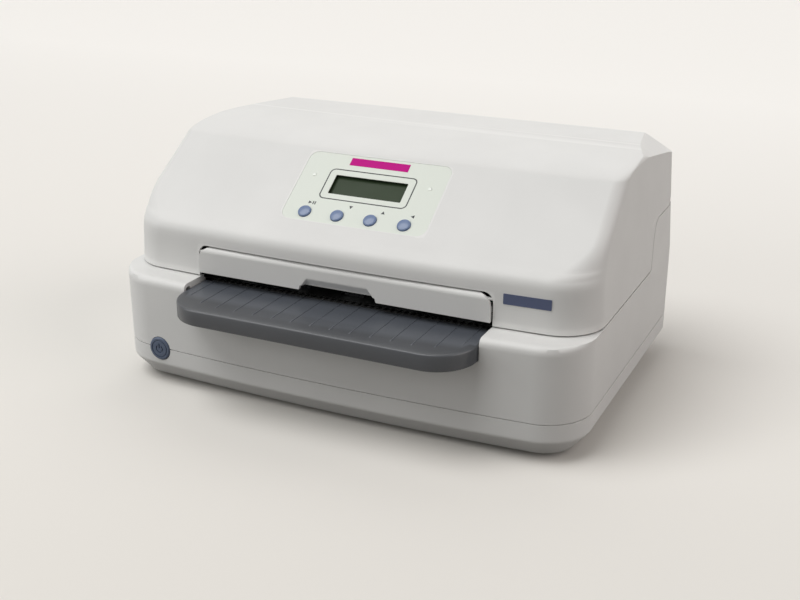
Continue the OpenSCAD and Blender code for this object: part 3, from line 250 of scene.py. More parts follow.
def carried(path, profile, closed_profile=True):
    """A profile carried along a closed path: path(inset) gives the outline drawn in by that much as points in
    a plane, and the profile is a list of (inset, height). Returns points (u, v, height) and quads."""
    rows = [np.column_stack([path(inset), np.full(len(path(inset)), height)]) for inset, height in profile]
    quads = lattice(len(rows), len(rows[0]), closed_profile, True)
    return np.concatenate(rows), quads[:, FLIPPED]


def rounded_outline(u0, u1, v0, v1, low_r, high_r, per_corner=10):
    """Function of the inset that gives a rectangle's outline, anticlockwise, with one corner radius at its
    low edge and one at its high edge: corner centre plus radius times the unit vector of each angle."""

    def path(inset):
        loop = []
        for su, sv, start in ((1, -1, -90), (1, 1, 0), (-1, 1, 90), (-1, -1, 180)):
            r = low_r if sv < 0 else high_r
            back = max(r, inset)
            centre = np.array([(u1 if su > 0 else u0) - su * back, (v1 if sv > 0 else v0) - sv * back])
            angle = np.radians(start + np.linspace(0, 90, per_corner + 1))
            loop.append(centre + (back - inset) * np.column_stack([np.cos(angle), np.sin(angle)]))
        return np.concatenate(loop)

    return path


def plate(path, profile):
    """A carried profile whose first and last rows are closed by flat faces, highest row first."""
    points, quads = carried(path, profile, closed_profile=False)
    n = len(path(0))
    last = len(points) - n
    return points, [*quads[:, ::-1].tolist(), list(range(n)), list(range(last + n - 1, last - 1, -1))]


def turned(profile, count=64):
    """A profile of (radius, height), from the axis out and back to it, turned about the height axis."""
    profile = np.array(profile, float)
    angle = np.linspace(0, 2 * math.pi, count, endpoint=False)
    r, h = profile[:, 0][:, None], profile[:, 1][:, None]
    points = np.stack([r * np.cos(angle), r * np.sin(angle), h + 0 * angle], -1).reshape(-1, 3)
    return weld(points, lattice(len(profile), count, closed_columns=True)[:, FLIPPED])


def prism(front, back):
    """Solid between two loops of points, anticlockwise seen from the front one's side."""
    n = len(front)
    i = np.arange(n)
    i2 = (i + 1) % n
    sides = np.stack([i, i + n, i2 + n, i2], 1)
    return np.concatenate([front, back]), [*sides.tolist(), list(range(n)), list(range(2 * n - 1, n - 1, -1))]


def bar(profile, x0, x1):
    """A polygon in the YZ plane, anticlockwise seen from +X, carried along X as a closed solid."""
    profile = np.array(profile, float)
    return prism(*(np.column_stack([np.full(len(profile), x), profile]) for x in (x1, x0)))


def bars(profile, x0, x1):
    """The same bar on the right side and on the left."""
    return [bar(profile, x0, x1), bar(profile, -x1, -x0)]


def block(low, high):
    """A plain inner block from its lowest to its highest corner."""
    (x0, y0, z0), (x1, y1, z1) = low, high
    return bar([(y0, z0), (y1, z0), (y1, z1), (y0, z1)], x0, x1)


def joined(parts):
    """One point array and one face list from several."""
    points, faces, start = [], [], 0
    for part_points, part_faces in parts:
        part_faces = part_faces.tolist() if isinstance(part_faces, np.ndarray) else part_faces
        points.append(part_points)
        faces += [[start + v for v in face] for face in part_faces]
        start += len(part_points)
    return np.concatenate(points), faces


def make_piece(name, points, faces, material, body, replaces=(), edge=0.0, smooth=40.0):
    """A mesh object in metres that rides on a body. Edges sharper than the smooth angle stay crisp, and a
    Bevel of the given width in millimetres rounds them where one is asked for."""
    faces = faces.tolist() if isinstance(faces, np.ndarray) else faces
    faces = [face for face in (list(dict.fromkeys(face)) for face in faces) if len(face) > 2]
    mesh = bpy.data.meshes.new(name)
    mesh.from_pydata((np.asarray(points) * MM).tolist(), [], faces)
    mesh.validate()
    mesh.shade_smooth()
    mesh.set_sharp_from_angle(angle=math.radians(smooth))
    mesh.materials.append(material)
    piece = bpy.data.objects.new(name, mesh)
    bpy.context.scene.collection.objects.link(piece)
    if edge:
        bevel = piece.modifiers.new("edge", "BEVEL")
        bevel.width = edge * MM
        bevel.segments = 2
        bevel.limit_method = "ANGLE"
        bevel.angle_limit = math.radians(smooth)
        bevel.harden_normals = True
    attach(piece, body)
    if replaces:
        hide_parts(*replaces)
    return piece


# ---------- Plan outline of the shells ----------

EXACT_X = 140.0  # half of the stretch along the front where u is the same as x
CORNER_START = HALF_W - CASE_CORNER
CORNER_END = CORNER_START + CASE_CORNER * math.pi / 2
SIDE_END = CORNER_END + 200.0
SHOULDER_END = SIDE_END + 60.0
ROUND_END = SHOULDER_END + REAR_ROUND * math.pi / 2
REAR_EXACT_X = 172.0
REAR_START = ROUND_END + HALF_W - REAR_ROUND - REAR_EXACT_X
REAR_MIDDLE = REAR_START + REAR_EXACT_X


def ring_points(u, w, front, rx, ry, rear, w_rear, shoulder, bow):
    """Plan outline of a shell, from u = 0 at the front centre round to the rear centre; a negative u goes
    round the left side. Each stretch adds its share: the bowed front, a quarter ellipse at the corner, the
    side, the shoulder that runs in to the rear width, a small quarter circle, and the rear wall."""
    a = np.abs(u)

    def share(start, end):
        return np.clip((a - start) / (end - start), 0, 1)

    xc = w - rx
    along = np.minimum(a, EXACT_X) + (xc - EXACT_X) * share(EXACT_X, CORNER_START)
    turn = share(CORNER_START, CORNER_END) * math.pi / 2
    small = share(SHOULDER_END, ROUND_END) * math.pi / 2
    corner_y = front + xc * xc / (2 * bow) + ry
    x = along + rx * np.sin(turn) + (w_rear - w) * share(SIDE_END, SHOULDER_END)
    x = x - REAR_ROUND * (1 - np.cos(small))
    x = x - (w_rear - REAR_ROUND - REAR_EXACT_X) * share(ROUND_END, REAR_START)
    x = x - np.clip(a - REAR_START, 0, REAR_EXACT_X)
    y = front + along**2 / (2 * bow) + ry * (1 - np.cos(turn))
    y = y + (shoulder - corner_y) * share(CORNER_END, SIDE_END)
    y = y + (rear - REAR_ROUND - shoulder) * share(SIDE_END, SHOULDER_END) + REAR_ROUND * np.sin(small)
    return np.sign(u) * x, y


SHOULDER_Y = REAR_Y - REAR_ROUND - 1.0


def side_lean(z):
    """How far the drafted sides have run in at height z."""
    return SIDE_DRAFT * np.clip(z - COVER_Z, 0, None)


def leaned(x, z):
    """x drawn in by the lean at height z, in full at the sides and not at all along the rear openings."""
    share = np.clip((np.abs(x) - REAR_EXACT_X) / (HALF_W - REAR_EXACT_X), 0, 1)
    return x - np.sign(x) * side_lean(z) * share


def case_ring(u, inset=0.0, front_inset=0.0):
    """Outline of the case, drawn in by inset, and by front_inset more at the front alone."""
    r = CASE_CORNER - inset
    return ring_points(
        u, HALF_W - inset, FRONT_Y + inset + front_inset, r, r - front_inset, REAR_Y - inset,
        HALF_W - inset, SHOULDER_Y - inset, CASE_BOW,
    )


def bezier(p0, p1, p2, p3, count):
    """Cubic Bezier curve as count + 1 points."""
    t = np.linspace(0, 1, count + 1)[:, None]
    p0, p1, p2, p3 = (np.array(p, float) for p in (p0, p1, p2, p3))
    return (1 - t) ** 3 * p0 + 3 * (1 - t) ** 2 * t * p1 + 3 * (1 - t) * t**2 * p2 + t**3 * p3


LIP_DROP = 9.05
SEAM = bezier((82, LEDGE_Z), (88, 112), (91, REAR_RIM_Z - 1.3), (107, REAR_RIM_Z), 40)


def case_top(y):
    """Height of the case's upper edge: the ledge, the seam curve, the rear rim, and behind the hinge axis a
    circle round it."""
    rise = np.interp(y, SEAM[:, 0], SEAM[:, 1])
    clear = HINGE[1] - REAR_RIM_Z
    reach = np.clip(y - HINGE[0], 0, math.sqrt(clear**2 - LIP_DROP**2))
    lip = HINGE[1] - np.sqrt(clear**2 - reach**2)
    return np.where(y > HINGE[0], lip, rise)


WALL_START = PAN_TOP + GROOVE
STRETCH_START = 51.0
ROUND_START = LEDGE_Z - LEDGE_ROUND - WALL_START
LEDGE_START = ROUND_START + LEDGE_ROUND * math.pi / 2
LEDGE_LENGTH = 24.0
MOUTH_FRONT = COVER_FRONT + 5


def case_surface(u, v):
    """Outer face of the lower case: v climbs the wall, goes round the ledge's edge (a quarter ellipse that
    fades out round the corners), and runs in over the ledge to the mouth."""
    angle = np.clip((v - ROUND_START) / (LEDGE_START - ROUND_START), 0, 1) * math.pi / 2
    inward = np.clip((v - LEDGE_START) / LEDGE_LENGTH, 0, 1)
    x, y = case_ring(u, 0.0, LEDGE_ROUND * (1 - np.cos(angle)))
    mouth_x, mouth_y = ring_points(
        u, HALF_W - WALL, MOUTH_FRONT, 33.0, 33.0, REAR_Y - WALL, HALF_W - WALL, SHOULDER_Y - WALL, COVER_BOW
    )
    x, y = x + (mouth_x - x) * inward, y + (mouth_y - y) * inward
    z = WALL_START + np.minimum(v, ROUND_START) + LEDGE_ROUND * np.sin(angle)
    raised = np.clip((v - STRETCH_START) / (LEDGE_START - STRETCH_START), 0, 1)
    z = z + (case_top(y) - LEDGE_Z) * raised
    return np.stack([leaned(x, z), y, z], -1)


# ---------- Cover surface ----------


def cover_profile():
    """Front profile of the cover as (y, z): skirt, soft crease, slope and the start of the crown."""
    crown = bezier(
        CREASE + SLOPE_LENGTH * UP_SLOPE, CREASE + (SLOPE_LENGTH + 6) * UP_SLOPE,
        (20, BODY_H), (CREST_Y, BODY_H), 60,
    )
    soft = bezier(
        (COVER_FRONT + 0.7, 131), (COVER_FRONT + 1.2, 137.5), CREASE + (-0.5, 1), CREASE + 8 * UP_SLOPE, 20
    )
    skirt = np.array([(COVER_FRONT, COVER_Z), (COVER_FRONT + 0.5, 128)])
    return np.concatenate([skirt, soft, crown])


PROFILE = cover_profile()
SLOPE_V = 41.0  # v of the cover surface less the distance up the slope from the crease
SOFT_ROWS = slice(2, 23)


def profile_rows():
    """v, y and z along the front profile: v is the height on the skirt, then even steps over the soft crease,
    then the distance up the slope, and then the length along the crown to the level top."""
    points = PROFILE[PROFILE[:, 1] < TOP_Z]
    end = np.interp(TOP_Z, PROFILE[-40:, 1], PROFILE[-40:, 0])
    points = np.vstack([points, [end, TOP_Z]])
    length = np.concatenate([[0], np.cumsum(np.linalg.norm(np.diff(points, axis=0), axis=1))])
    v = length - length[SOFT_ROWS.stop - 1] + SLOPE_V + 8
    v[: SOFT_ROWS.start] = 0, 30
    v[SOFT_ROWS] = np.linspace(33, SLOPE_V + 8, SOFT_ROWS.stop - SOFT_ROWS.start)
    return v, points[:, 0], points[:, 1]


ROW_V, ROW_Y, ROW_Z = profile_rows()
TOP_V = ROW_V[-1]
LIFT_V = float(np.interp(HINGE[1], ROW_Z, ROW_V))


def facet_plane():
    """Normal and offset of the flat facet that cuts each rear corner, through three points."""
    foot = np.array([HALF_W - side_lean(SHOULDER_Z), REAR_Y, SHOULDER_Z])
    ridge = np.array([180.0, REAR_Y, REAR_TOP_Z])
    tip = np.array([203.0, 50.0, 203.0])
    normal = np.cross(ridge - foot, tip - foot)
    return normal, normal @ foot


FACET_NORMAL, FACET_OFFSET = facet_plane()


def facet_x(y, z):
    return (FACET_OFFSET - FACET_NORMAL[1] * y - FACET_NORMAL[2] * z) / FACET_NORMAL[0]


def facet_y(x, z):
    return (FACET_OFFSET - FACET_NORMAL[0] * x - FACET_NORMAL[2] * z) / FACET_NORMAL[1]


def cover_half_w(z):
    """Half width at height z: the drafted side, and over it a quarter ellipse up to the level top."""
    rise = np.clip((z - SIDE_TOP_Z) / (TOP_Z - SIDE_TOP_Z), 0, 1)
    return HALF_W - side_lean(np.minimum(z, SIDE_TOP_Z)) - EDGE_R * (1 - np.sqrt(1 - rise**2))


def cover_ring(z, front):
    """Values of ring_points for the cover at height z, where its front stands at that y: the front corner
    goes from round on the skirt to tight along the slope, and the facet sets the shoulder and rear width."""
    w = cover_half_w(z)
    under = HINGE[0] + np.sqrt(np.clip(HINGE_R**2 - np.clip(HINGE[1] - z, 0, HINGE_R) ** 2, 0, None))
    crown = REAR_Y - 1.2 - 62 * (np.clip(z - REAR_TOP_Z, 0, None) / (BODY_H - REAR_TOP_Z)) ** 1.3
    chamfer = REAR_Y - 0.6 * np.clip(z - REAR_TOP_Z + 2, 0, 2)
    rear = np.where(z < HINGE[1], under, np.where(z < REAR_TOP_Z, chamfer, np.maximum(CREST_Y + 6, crown)))
    rise = np.clip((z - CORNER_LOW) / (CORNER_HIGH - CORNER_LOW), 0, 1)
    share = (1 - (1 + SOFT_START) * rise**2 / (rise + SOFT_START)) ** 2
    rx = SLOPE_EDGE + (COVER_CORNER - SLOPE_EDGE) * share
    along = SLOPE_EDGE / math.sin(SLOPE)
    ry = np.minimum(along + (COVER_CORNER - along) * share, 0.3 * (rear - front))
    w_rear = np.where(z < SHOULDER_Z, w, np.minimum(w, facet_x(rear, z)))
    corner_y = front + (w - rx) ** 2 / (2 * COVER_BOW) + ry
    w = np.where(z < SHOULDER_Z, w, np.minimum(w, facet_x(corner_y + 2, z)))
    shoulder = np.where(z < SHOULDER_Z, SHOULDER_Y, facet_y(w, z))
    shoulder = np.minimum(np.maximum(shoulder, corner_y + 2), rear - REAR_ROUND - 1)
    return dict(w=w, front=front, rx=rx, ry=ry, rear=rear, w_rear=w_rear, shoulder=shoulder, bow=COVER_BOW)


def seam_lift(u):
    """v where the cover's lower edge runs, on each column of the grid."""
    v = np.zeros_like(u)
    for _ in range(6):
        z = np.interp(v, ROW_V, ROW_Z)
        y = ring_points(u, **cover_ring(z, np.interp(v, ROW_V, ROW_Y)))[1]
        edge = np.interp(y, SEAM[:, 0] - 0.75 * SEAM_GAP, SEAM[:, 1] + SEAM_GAP)
        v = np.interp(np.maximum(edge, COVER_Z), ROW_Z, ROW_V)
    return v


def cover_surface(u, v):
    """Outer face of the cover: v climbs the front profile while u runs round the outline of that height. Low
    rows are drawn together where the seam lifts the lower edge."""
    lift = seam_lift(u)
    v = np.where(v < LIFT_V, lift + v * (LIFT_V - lift) / LIFT_V, v)
    z = np.interp(v, ROW_V, ROW_Z)
    x, y = ring_points(u, **cover_ring(z, np.interp(v, ROW_V, ROW_Y)))
    return np.stack([x, y, z], -1)


def slope_points(x, t, out):
    """Points on the sloped face: x across, t up the slope from the crease, out along its normal."""
    x, t, out = np.broadcast_arrays(x, t, out)
    y = CREASE[0] + t * UP_SLOPE[0] + out * OUT_OF_SLOPE[0] + x**2 / (2 * COVER_BOW)
    z = CREASE[1] + t * UP_SLOPE[1] + out * OUT_OF_SLOPE[1]
    return np.stack([x, y, z], -1).astype(float)


# ---------- Finishes ----------


def rgb(code):
    """Linear colour of a display colour written as six hex digits."""
    parts = [int(code[k : k + 2], 16) / 255 for k in (0, 2, 4)]
    linear = [c / 12.92 if c <= 0.04045 else ((c + 0.055) / 1.055) ** 2.4 for c in parts]
    return (*linear, 1.0)


class Finish:
    """A procedural material on Object coordinates: mottled colour, a painted highlight on convex edges,
    roughness and fine relief.
    """

    def __init__(self, name):
        self.material = bpy.data.materials.new(name)
        self.material.use_nodes = True
        self.tree = self.material.node_tree
        self.shader = self.tree.nodes["Principled BSDF"]
        self.place = self.node("ShaderNodeTexCoord").outputs["Object"]

    def node(self, kind, **values):
        made = self.tree.nodes.new(kind)
        for key, value in values.items():
            if hasattr(made, key):
                setattr(made, key, value)
            else:
                made.inputs[key.replace("_", " ")].default_value = value
        return made

    def link(self, out, into):
        self.tree.links.new(out, into)
        return into

    def stretched(self, scale):
        """Object coordinates scaled by three factors, so that a pattern runs along one axis."""
        mapping = self.node("ShaderNodeMapping")
        mapping.inputs["Scale"].default_value = scale
        self.link(self.place, mapping.inputs["Vector"])
        return mapping.outputs["Vector"]

    def noise(self, scale, detail, vector=None):
        noise = self.node("ShaderNodeTexNoise", Scale=scale, Detail=detail)
        self.link(vector or self.place, noise.inputs["Vector"])
        return noise.outputs["Fac"]

    def spread(self, value, low, high, low_out=0.0, high_out=1.0):
        """Linear map of a value from one interval to another."""
        mapped = self.node("ShaderNodeMapRange")
        for key, number in zip(("From Min", "From Max", "To Min", "To Max"), (low, high, low_out, high_out)):
            mapped.inputs[key].default_value = number
        self.link(value, mapped.inputs["Value"])
        return mapped.outputs["Result"]

    def mixed(self, share, a, b):
        """Colour between a and b, each a colour value or a socket."""
        mix = self.node("ShaderNodeMix", data_type="RGBA")
        self.link(share, mix.inputs["Factor"])
        for value, into in ((a, mix.inputs[6]), (b, mix.inputs[7])):
            if isinstance(value, tuple):
                into.default_value = value
            else:
                self.link(value, into)
        return mix.outputs[2]

    def colour(self, base, other, scale=14.0):
        """Slow mottling between two near tones."""
        tone = self.mixed(self.spread(self.noise(scale, 4.0), 0.35, 0.65), base, other)
        self.link(tone, self.shader.inputs["Base Color"])
        return tone

    def painted_edge_highlight(self, tone, highlight, low=0.52, high=0.60):
        """Painted highlight: convex edges take the given lighter colour, found by how sharply the surface
        bends.
        """
        pointed = self.node("ShaderNodeNewGeometry").outputs["Pointiness"]
        tone = self.mixed(self.spread(pointed, low, high), tone, highlight)
        self.link(tone, self.shader.inputs["Base Color"])
        return tone

    def roughness(self, low, high):
        self.link(self.spread(self.noise(40.0, 5.0), 0.3, 0.7, low, high), self.shader.inputs["Roughness"])

    def relief(self, scale, strength, distance=0.0002, vector=None):
        """Fine grain as bump."""
        bump = self.node("ShaderNodeBump", Strength=strength, Distance=distance)
        self.link(self.noise(scale, 2.0, vector), bump.inputs["Height"])
        self.link(bump.outputs["Normal"], self.shader.inputs["Normal"])

    def set(self, **values):
        for key, value in values.items():
            self.shader.inputs[key.replace("_", " ")].default_value = value
        return self


def tint(name, description, code):
    """A colour property with its default written as six hex digits."""
    return bpy.props.FloatVectorProperty(
        name=name, description=description, subtype="COLOR", size=4, min=0.0, max=1.0, default=rgb(code)
    )


def edge_radius(name, description, default):
    """A property for the radius of a kind of edge, in metres."""
    return bpy.props.FloatProperty(
        name=name, description=description, unit="LENGTH", min=0.0, default=default
    )


class PrinterFinishes(bpy.types.PropertyGroup):
    """Colours of the finishes, as display colours turned linear."""

    case: tint("Case", "Warm white of the shells", "DBDBD9")
    slate: tint("Table", "Slate of the document table", "383B40")
    key: tint("Keys", "Blue of the keys", "68748F")
    button: tint("Power button", "Blue grey of the button", "566277")
    film: tint("Panel film", "Pale grey of the control panel", "CBCCCA")
    display: tint("Display", "Green of the resting display", "303D2A")
    strip: tint("Label strip", "Bare strip over the display", "B8107F")
    badge: tint("Badge", "Bare plate on the skirt", "4A5168")


class PrinterEdges(bpy.types.PropertyGroup):
    """Roundings of the visible edges."""

    shell_edge: edge_radius("Shell edges", "Radius of the shells' cut edges", 0.0006)
    flap_edge: edge_radius("Flap edges", "Radius of the flap's edges", 0.0003)
    trim_edge: edge_radius("Trim edges", "Radius of edges on small trim", 0.0002)


def shade(colour, factor):
    """A tone lighter or darker than the given one."""
    return (*[min(1.0, c * factor) for c in colour[:3]], 1.0)


def moulded(name, tone, other, highlight, rough=(0.42, 0.52), grain=1400.0, depth=0.12, gloss=0.4):
    """Moulded plastic with a fine spark-eroded grain; other gives the mottled shade of its tone, and the next
    factor the painted highlight on convex edges.
    """
    finish = Finish(name)
    # painted highlight: convex edges lighter than the tone by the highlight factor
    finish.painted_edge_highlight(finish.colour(tone, shade(tone, other)), shade(tone, highlight))
    finish.roughness(*rough)
    finish.relief(grain, depth)
    return finish.set(IOR=1.46, Specular_IOR_Level=gloss).material


def brushed(name, tone, other, rough=(0.28, 0.42), along=(6.0, 400.0, 400.0)):
    """Rolled metal, its fine lines along X."""
    finish = Finish(name)
    # painted highlight: convex edges 1.4 times lighter than the tone
    finish.painted_edge_highlight(finish.colour(tone, rgb(other), 30.0), shade(tone, 1.4))
    streaks = finish.stretched(along)
    finish.link(
        finish.spread(finish.noise(1.0, 4.0, streaks), 0.3, 0.7, *rough), finish.shader.inputs["Roughness"]
    )
    finish.relief(1.0, 0.12, 0.0001, streaks)
    return finish.set(Metallic=1.0).material


def circuit(name, tone, track):
    """Circuit board: solder mask over tracks, drawn as the joints of a fine brick pattern."""
    finish = Finish(name)
    cells = finish.node("ShaderNodeTexBrick", Scale=180.0, Mortar_Size=0.08, Bias=0.0)
    finish.link(finish.place, cells.inputs["Vector"])
    tone = finish.mixed(finish.spread(cells.outputs["Fac"], 0.0, 1.0), tone, rgb(track))
    # painted highlight: convex edges take the lighter track colour
    finish.painted_edge_highlight(tone, rgb(track), 0.55, 0.7)
    finish.roughness(0.3, 0.45)
    finish.relief(600.0, 0.1)
    return finish.material


def liquid_crystal(name, tone):
    """Resting liquid-crystal display: faint rows of cells on green, under gloss."""
    finish = Finish(name)
    cells = finish.node("ShaderNodeTexBrick", Scale=1.0, Mortar_Size=0.03, offset=0.0)
    cells.inputs["Brick Width"].default_value = 0.0040
    cells.inputs["Row Height"].default_value = 0.0075
    finish.link(finish.place, cells.inputs["Vector"])
    mottled = finish.colour(tone, shade(tone, 0.86), 22.0)
    drawn = finish.mixed(finish.spread(cells.outputs["Fac"], 0, 1, 0, 0.12), mottled, shade(tone, 1.3))
    finish.link(drawn, finish.shader.inputs["Base Color"])
    finish.roughness(0.3, 0.4)
    finish.relief(200.0, 0.02)
    return finish.set(Specular_IOR_Level=0.12).material


def woven(name, tone):
    """Inked fabric ribbon: a fine plain weave."""
    finish = Finish(name)
    finish.colour(tone, shade(tone, 1.8), 60.0)
    finish.roughness(0.75, 0.9)
    finish.relief(2500.0, 0.4, 0.0001)
    return finish.material


# For each finish its recipe, its tone (a colour of PrinterFinishes or six hex digits), and further values
# of a moulded finish's further values the first is its mottling and the second its painted highlight on
# convex edges
FINISHES = {
    "warm_white_plastic": (moulded, "case", 0.965, 1.06),
    "slate_plastic": (moulded, "slate", 0.9, 2.0, (0.3, 0.38), 1800.0, 0.12, 0.7),
    "key_plastic": (moulded, "key", 0.92, 1.2, (0.16, 0.24), 900.0, 0.02),
    "button_plastic": (moulded, "button", 0.9, 1.4, (0.3, 0.4), 1500.0, 0.08),
    "panel_film": (moulded, "film", 0.97, 1.05, (0.34, 0.42), 2600.0, 0.05),
    "dark_plastic": (moulded, "26272A", 0.8, 2.2, (0.4, 0.55)),
    "resting_display": (liquid_crystal, "display"),
    "label_strip": (moulded, "strip", 0.93, 1.1, (0.4, 0.5), 2600.0, 0.03, 0.08),
    "badge_plate": (moulded, "badge", 0.88, 1.5, (0.3, 0.42), 1200.0, 0.06, 0.2),
    "printed_ink": (moulded, "303436", 0.85, 1.1, (0.4, 0.5), 2600.0, 0.03),
    "light_pipe": (moulded, "E4E8E2", 0.94, 1.05, (0.2, 0.28), 900.0, 0.03),
    "rubber": (moulded, "2B2B2D", 0.75, 1.6, (0.7, 0.85), 900.0, 0.3),
    "inked_ribbon": (woven, "141418"),
    "sheet_steel": (brushed, "B4B6B8", "A4A7AA"),
    "ground_rod": (brushed, "CDCFD1", "C0C2C5", (0.12, 0.22)),
    "brass": (brushed, "C9A865", "B8965A", (0.28, 0.4)),
    "cast_zinc": (brushed, "9EA0A2", "8F9193", (0.35, 0.5), (60.0, 60.0, 60.0)),
    "gear_nylon": (moulded, "DEDDD4", 0.93, 1.05, (0.38, 0.5), 700.0, 0.08),
    "circuit_board": (circuit, "1F5A38", "3B7F55"),
}


def finish_of(name):
    """The material of that name, made the first time it is asked for."""
    made = bpy.data.materials.get(name)
    if made:
        return made
    recipe, tone, *values = FINISHES[name]
    colours = bpy.context.scene.printer_finishes
    return recipe(name, tuple(getattr(colours, tone)) if hasattr(colours, tone) else rgb(tone), *values)


# Finish of each solid that is shown as it is
CAD_FINISHES = {
    "rubber": ["rubber_feet", "front_feed_rollers", "rear_feed_rollers", "platen"],
    "sheet_steel": [
        "case_screws", "side_frame_left", "side_frame_right", "rear_crossbar", "belt_tensioner", "gear_studs",
        "power_supply", "usb_port", "parallel_port",
    ],
    "ground_rod": ["guide_rod_rear", "guide_rod_front", "front_feed_shaft", "rear_feed_shaft", "hinge_pins"],
    "brass": ["drive_pulley", "idler_pulley", "shaft_bushes", "motor_pinion"],
    "cast_zinc": ["print_head", "front_pinch_rollers", "rear_pinch_rollers"],
    "dark_plastic": [
        "table_comb", "lower_guide", "upper_guide", "platen_beam", "carriage", "timing_belt",
        "carriage_motor", "ribbon_cartridge", "feed_motor", "power_inlet", "display_module",
    ],
    "gear_nylon": ["front_idler_gear", "rear_idler_gear", "front_roller_gear", "rear_roller_gear"],
    "circuit_board": ["sensor_bar", "main_board", "panel_board"],
    "key_plastic": ["ribbon_knob"],
    "inked_ribbon": ["ribbon_band"],
    "light_pipe": ["status_lights"],
}


# ---------- Pieces ----------

SHELF_Z = TABLE_LOW[2]
NOTCH_HALF = 132.0
NOTCH_BACK = -86.0
NOTCH_V = 43.3  # v of the case's outer face at the foot of the notch
CHEEK = 3.0
POST_XS, POST_YS, POST_R = (-178, 178), (-62, 30, 128), 5.0
TABLE_TOP = 92.1
RIB_PITCH = 17.3
RIB_RISE = 0.42
HINGE_ARM = (188.0, 196.0)
KNUCKLE = (178.0, 187.5)
BUTTON_LOW, BUTTON_HIGH = node_box("power_button")
BUTTON_X = (BUTTON_LOW[0] + BUTTON_HIGH[0]) / 2
BUTTON_Z = (BUTTON_LOW[2] + BUTTON_HIGH[2]) / 2
BUTTON_R = (BUTTON_HIGH[0] - BUTTON_LOW[0]) / 2
BUTTON_HOLE = BUTTON_R + 0.45


def side_stops():
    """Grid lines round one half of a shell's outline, past the stretch along the front."""
    half_round = lines([CORNER_START, CORNER_END], [2.6])
    marks = [CORNER_END, CORNER_END + 131, CORNER_END + 167, CORNER_END + 190, SIDE_END]
    side = lines(marks, [9.0, 1.3, 6.0, 1.2])
    back = lines([SIDE_END, SHOULDER_END, ROUND_END, REAR_START], [6.0, 0.8, 5.0])
    return np.concatenate([half_round[1:], side[1:], back[1:]])


VENTS = [(-98.25 + 8 * k, 65, 1.75, 19, 1.6) for k in range(14)]
SOCKETS = [(-150, 58, 14, 11, 0.8), (128, 58, 6.2, 5.6, 0.6), (66, 58, 34, 8.5, 0.8)]


def rear_opening(x, z, half_w, half_h, r):
    """An opening in the rear wall at x and z, as grid_with_openings takes it."""
    return (math.copysign(REAR_MIDDLE - abs(x), x), z - WALL_START, half_w, half_h, r, 1.0, "")


def lower_case_mesh():
    """Lower case: the wall and ledge as one shell over u and v, with the table's notch, half of the power
    button's hole, the sockets' openings and the vents, and the tray, posts and hinge arms inside."""
    front = lines([0, NOTCH_HALF - 4, NOTCH_HALF + 2, EXACT_X, 148, CORNER_START], [6.0, 1.0, 3.0, 3.0, 1.5])
    openings = [rear_opening(*hole) for hole in SOCKETS + VENTS]
    rear = {round(abs(hole[0]) + side * (hole[2] + hole[5]), 3) for hole in openings for side in (-1, 1)}
    rear = sorted(rear | {REAR_START, REAR_MIDDLE})
    rear = [u for k, u in enumerate(rear) if k == 0 or u - rear[k - 1] > 0.2 or u == REAR_MIDDLE]
    us = mirrored(np.concatenate([front, side_stops(), lines(rear, [1.7] * (len(rear) - 1))[1:]]))
    end = LEDGE_START + LEDGE_LENGTH
    marks = [0, STRETCH_START, LEDGE_START, end]
    openings += [
        (0, NOTCH_V + 40, NOTCH_HALF, 40, 0.8, 2.0, "high"),
        (BUTTON_X, BUTTON_Z - WALL_START, BUTTON_HOLE, BUTTON_HOLE, BUTTON_HOLE, 2.5, "low"),
    ]
    for hole in openings:
        marks += [hole[1] - hole[3] - hole[5], hole[1] + hole[3] + hole[5]]
    marks = sorted({round(float(np.clip(m, 0, end)), 3) for m in marks})
    marks = [m for k, m in enumerate(marks) if k == 0 or m - marks[k - 1] > 0.05]
    vs = lines(marks, [3.0 if b <= STRETCH_START else 0.9 if b <= LEDGE_START else 3.0 for b in marks[1:]])
    uv, quads = grid_with_openings(us, vs, openings)
    points, quads = weld(case_surface(uv[:, 0], uv[:, 1]), quads)
    return joined([shell(points, quads, WALL), *case_inner_parts()])


def case_inner_parts():
    """Tray under the table, screw posts with their ribs, and the goose-neck hinge arms."""
    wide = NOTCH_HALF + CHEEK
    tray_side = [(FRONT_Y + 12, SHELF_Z - WALL), (NOTCH_BACK, SHELF_Z - WALL), (NOTCH_BACK, LEDGE_Z - WALL),
                 (FRONT_Y + 12, LEDGE_Z - WALL)]
    parts = [block((-wide, FRONT_Y + 4, SHELF_Z - WALL), (wide, NOTCH_BACK, SHELF_Z)),
             *bars(tray_side, NOTCH_HALF, wide)]
    for x in POST_XS:
        x0, x1 = sorted((x, math.copysign(HALF_W - 2, x)))
        for y in POST_YS:
            path = rounded_outline(x - POST_R, x + POST_R, y - POST_R, y + POST_R, POST_R, POST_R, 8)
            parts.append(plate(path, [(0, PAN_TOP + 8), (0, FOOT_H + 11.5)]))
            parts.append(block((x0, y - 1.2, PAN_TOP + 1), (x1, y + 1.2, PAN_TOP + 8)))
    neck = [(-19, 60 - HINGE[1]), (-11, 60 - HINGE[1]), (-11, -10), (-10.6, -5.2), (-8.6, -3.6),
            (-7.4, -2.6), (-6.4, -2.85), (-5, -4.9), (-2.6, -6.5), (0, -7), (5, -5), (7, 0), (5, 5), (0, 7),
            (-10, 6), (-19, -2)]
    back = REAR_Y - WALL
    web = [(HINGE[0] - 11.1, 60), (back, 60), (back, 90), (HINGE[0] - 11.1, 120)]
    foot = [(HINGE[0] - 19, 60), (HINGE[0] - 16, 60), (HINGE[0] - 16, 110), (HINGE[0] - 19, 110)]
    return [*parts, *bars(HINGE + neck, *HINGE_ARM), *bars(web, *HINGE_ARM),
            *bars(foot, HINGE_ARM[1], HALF_W - WALL)]


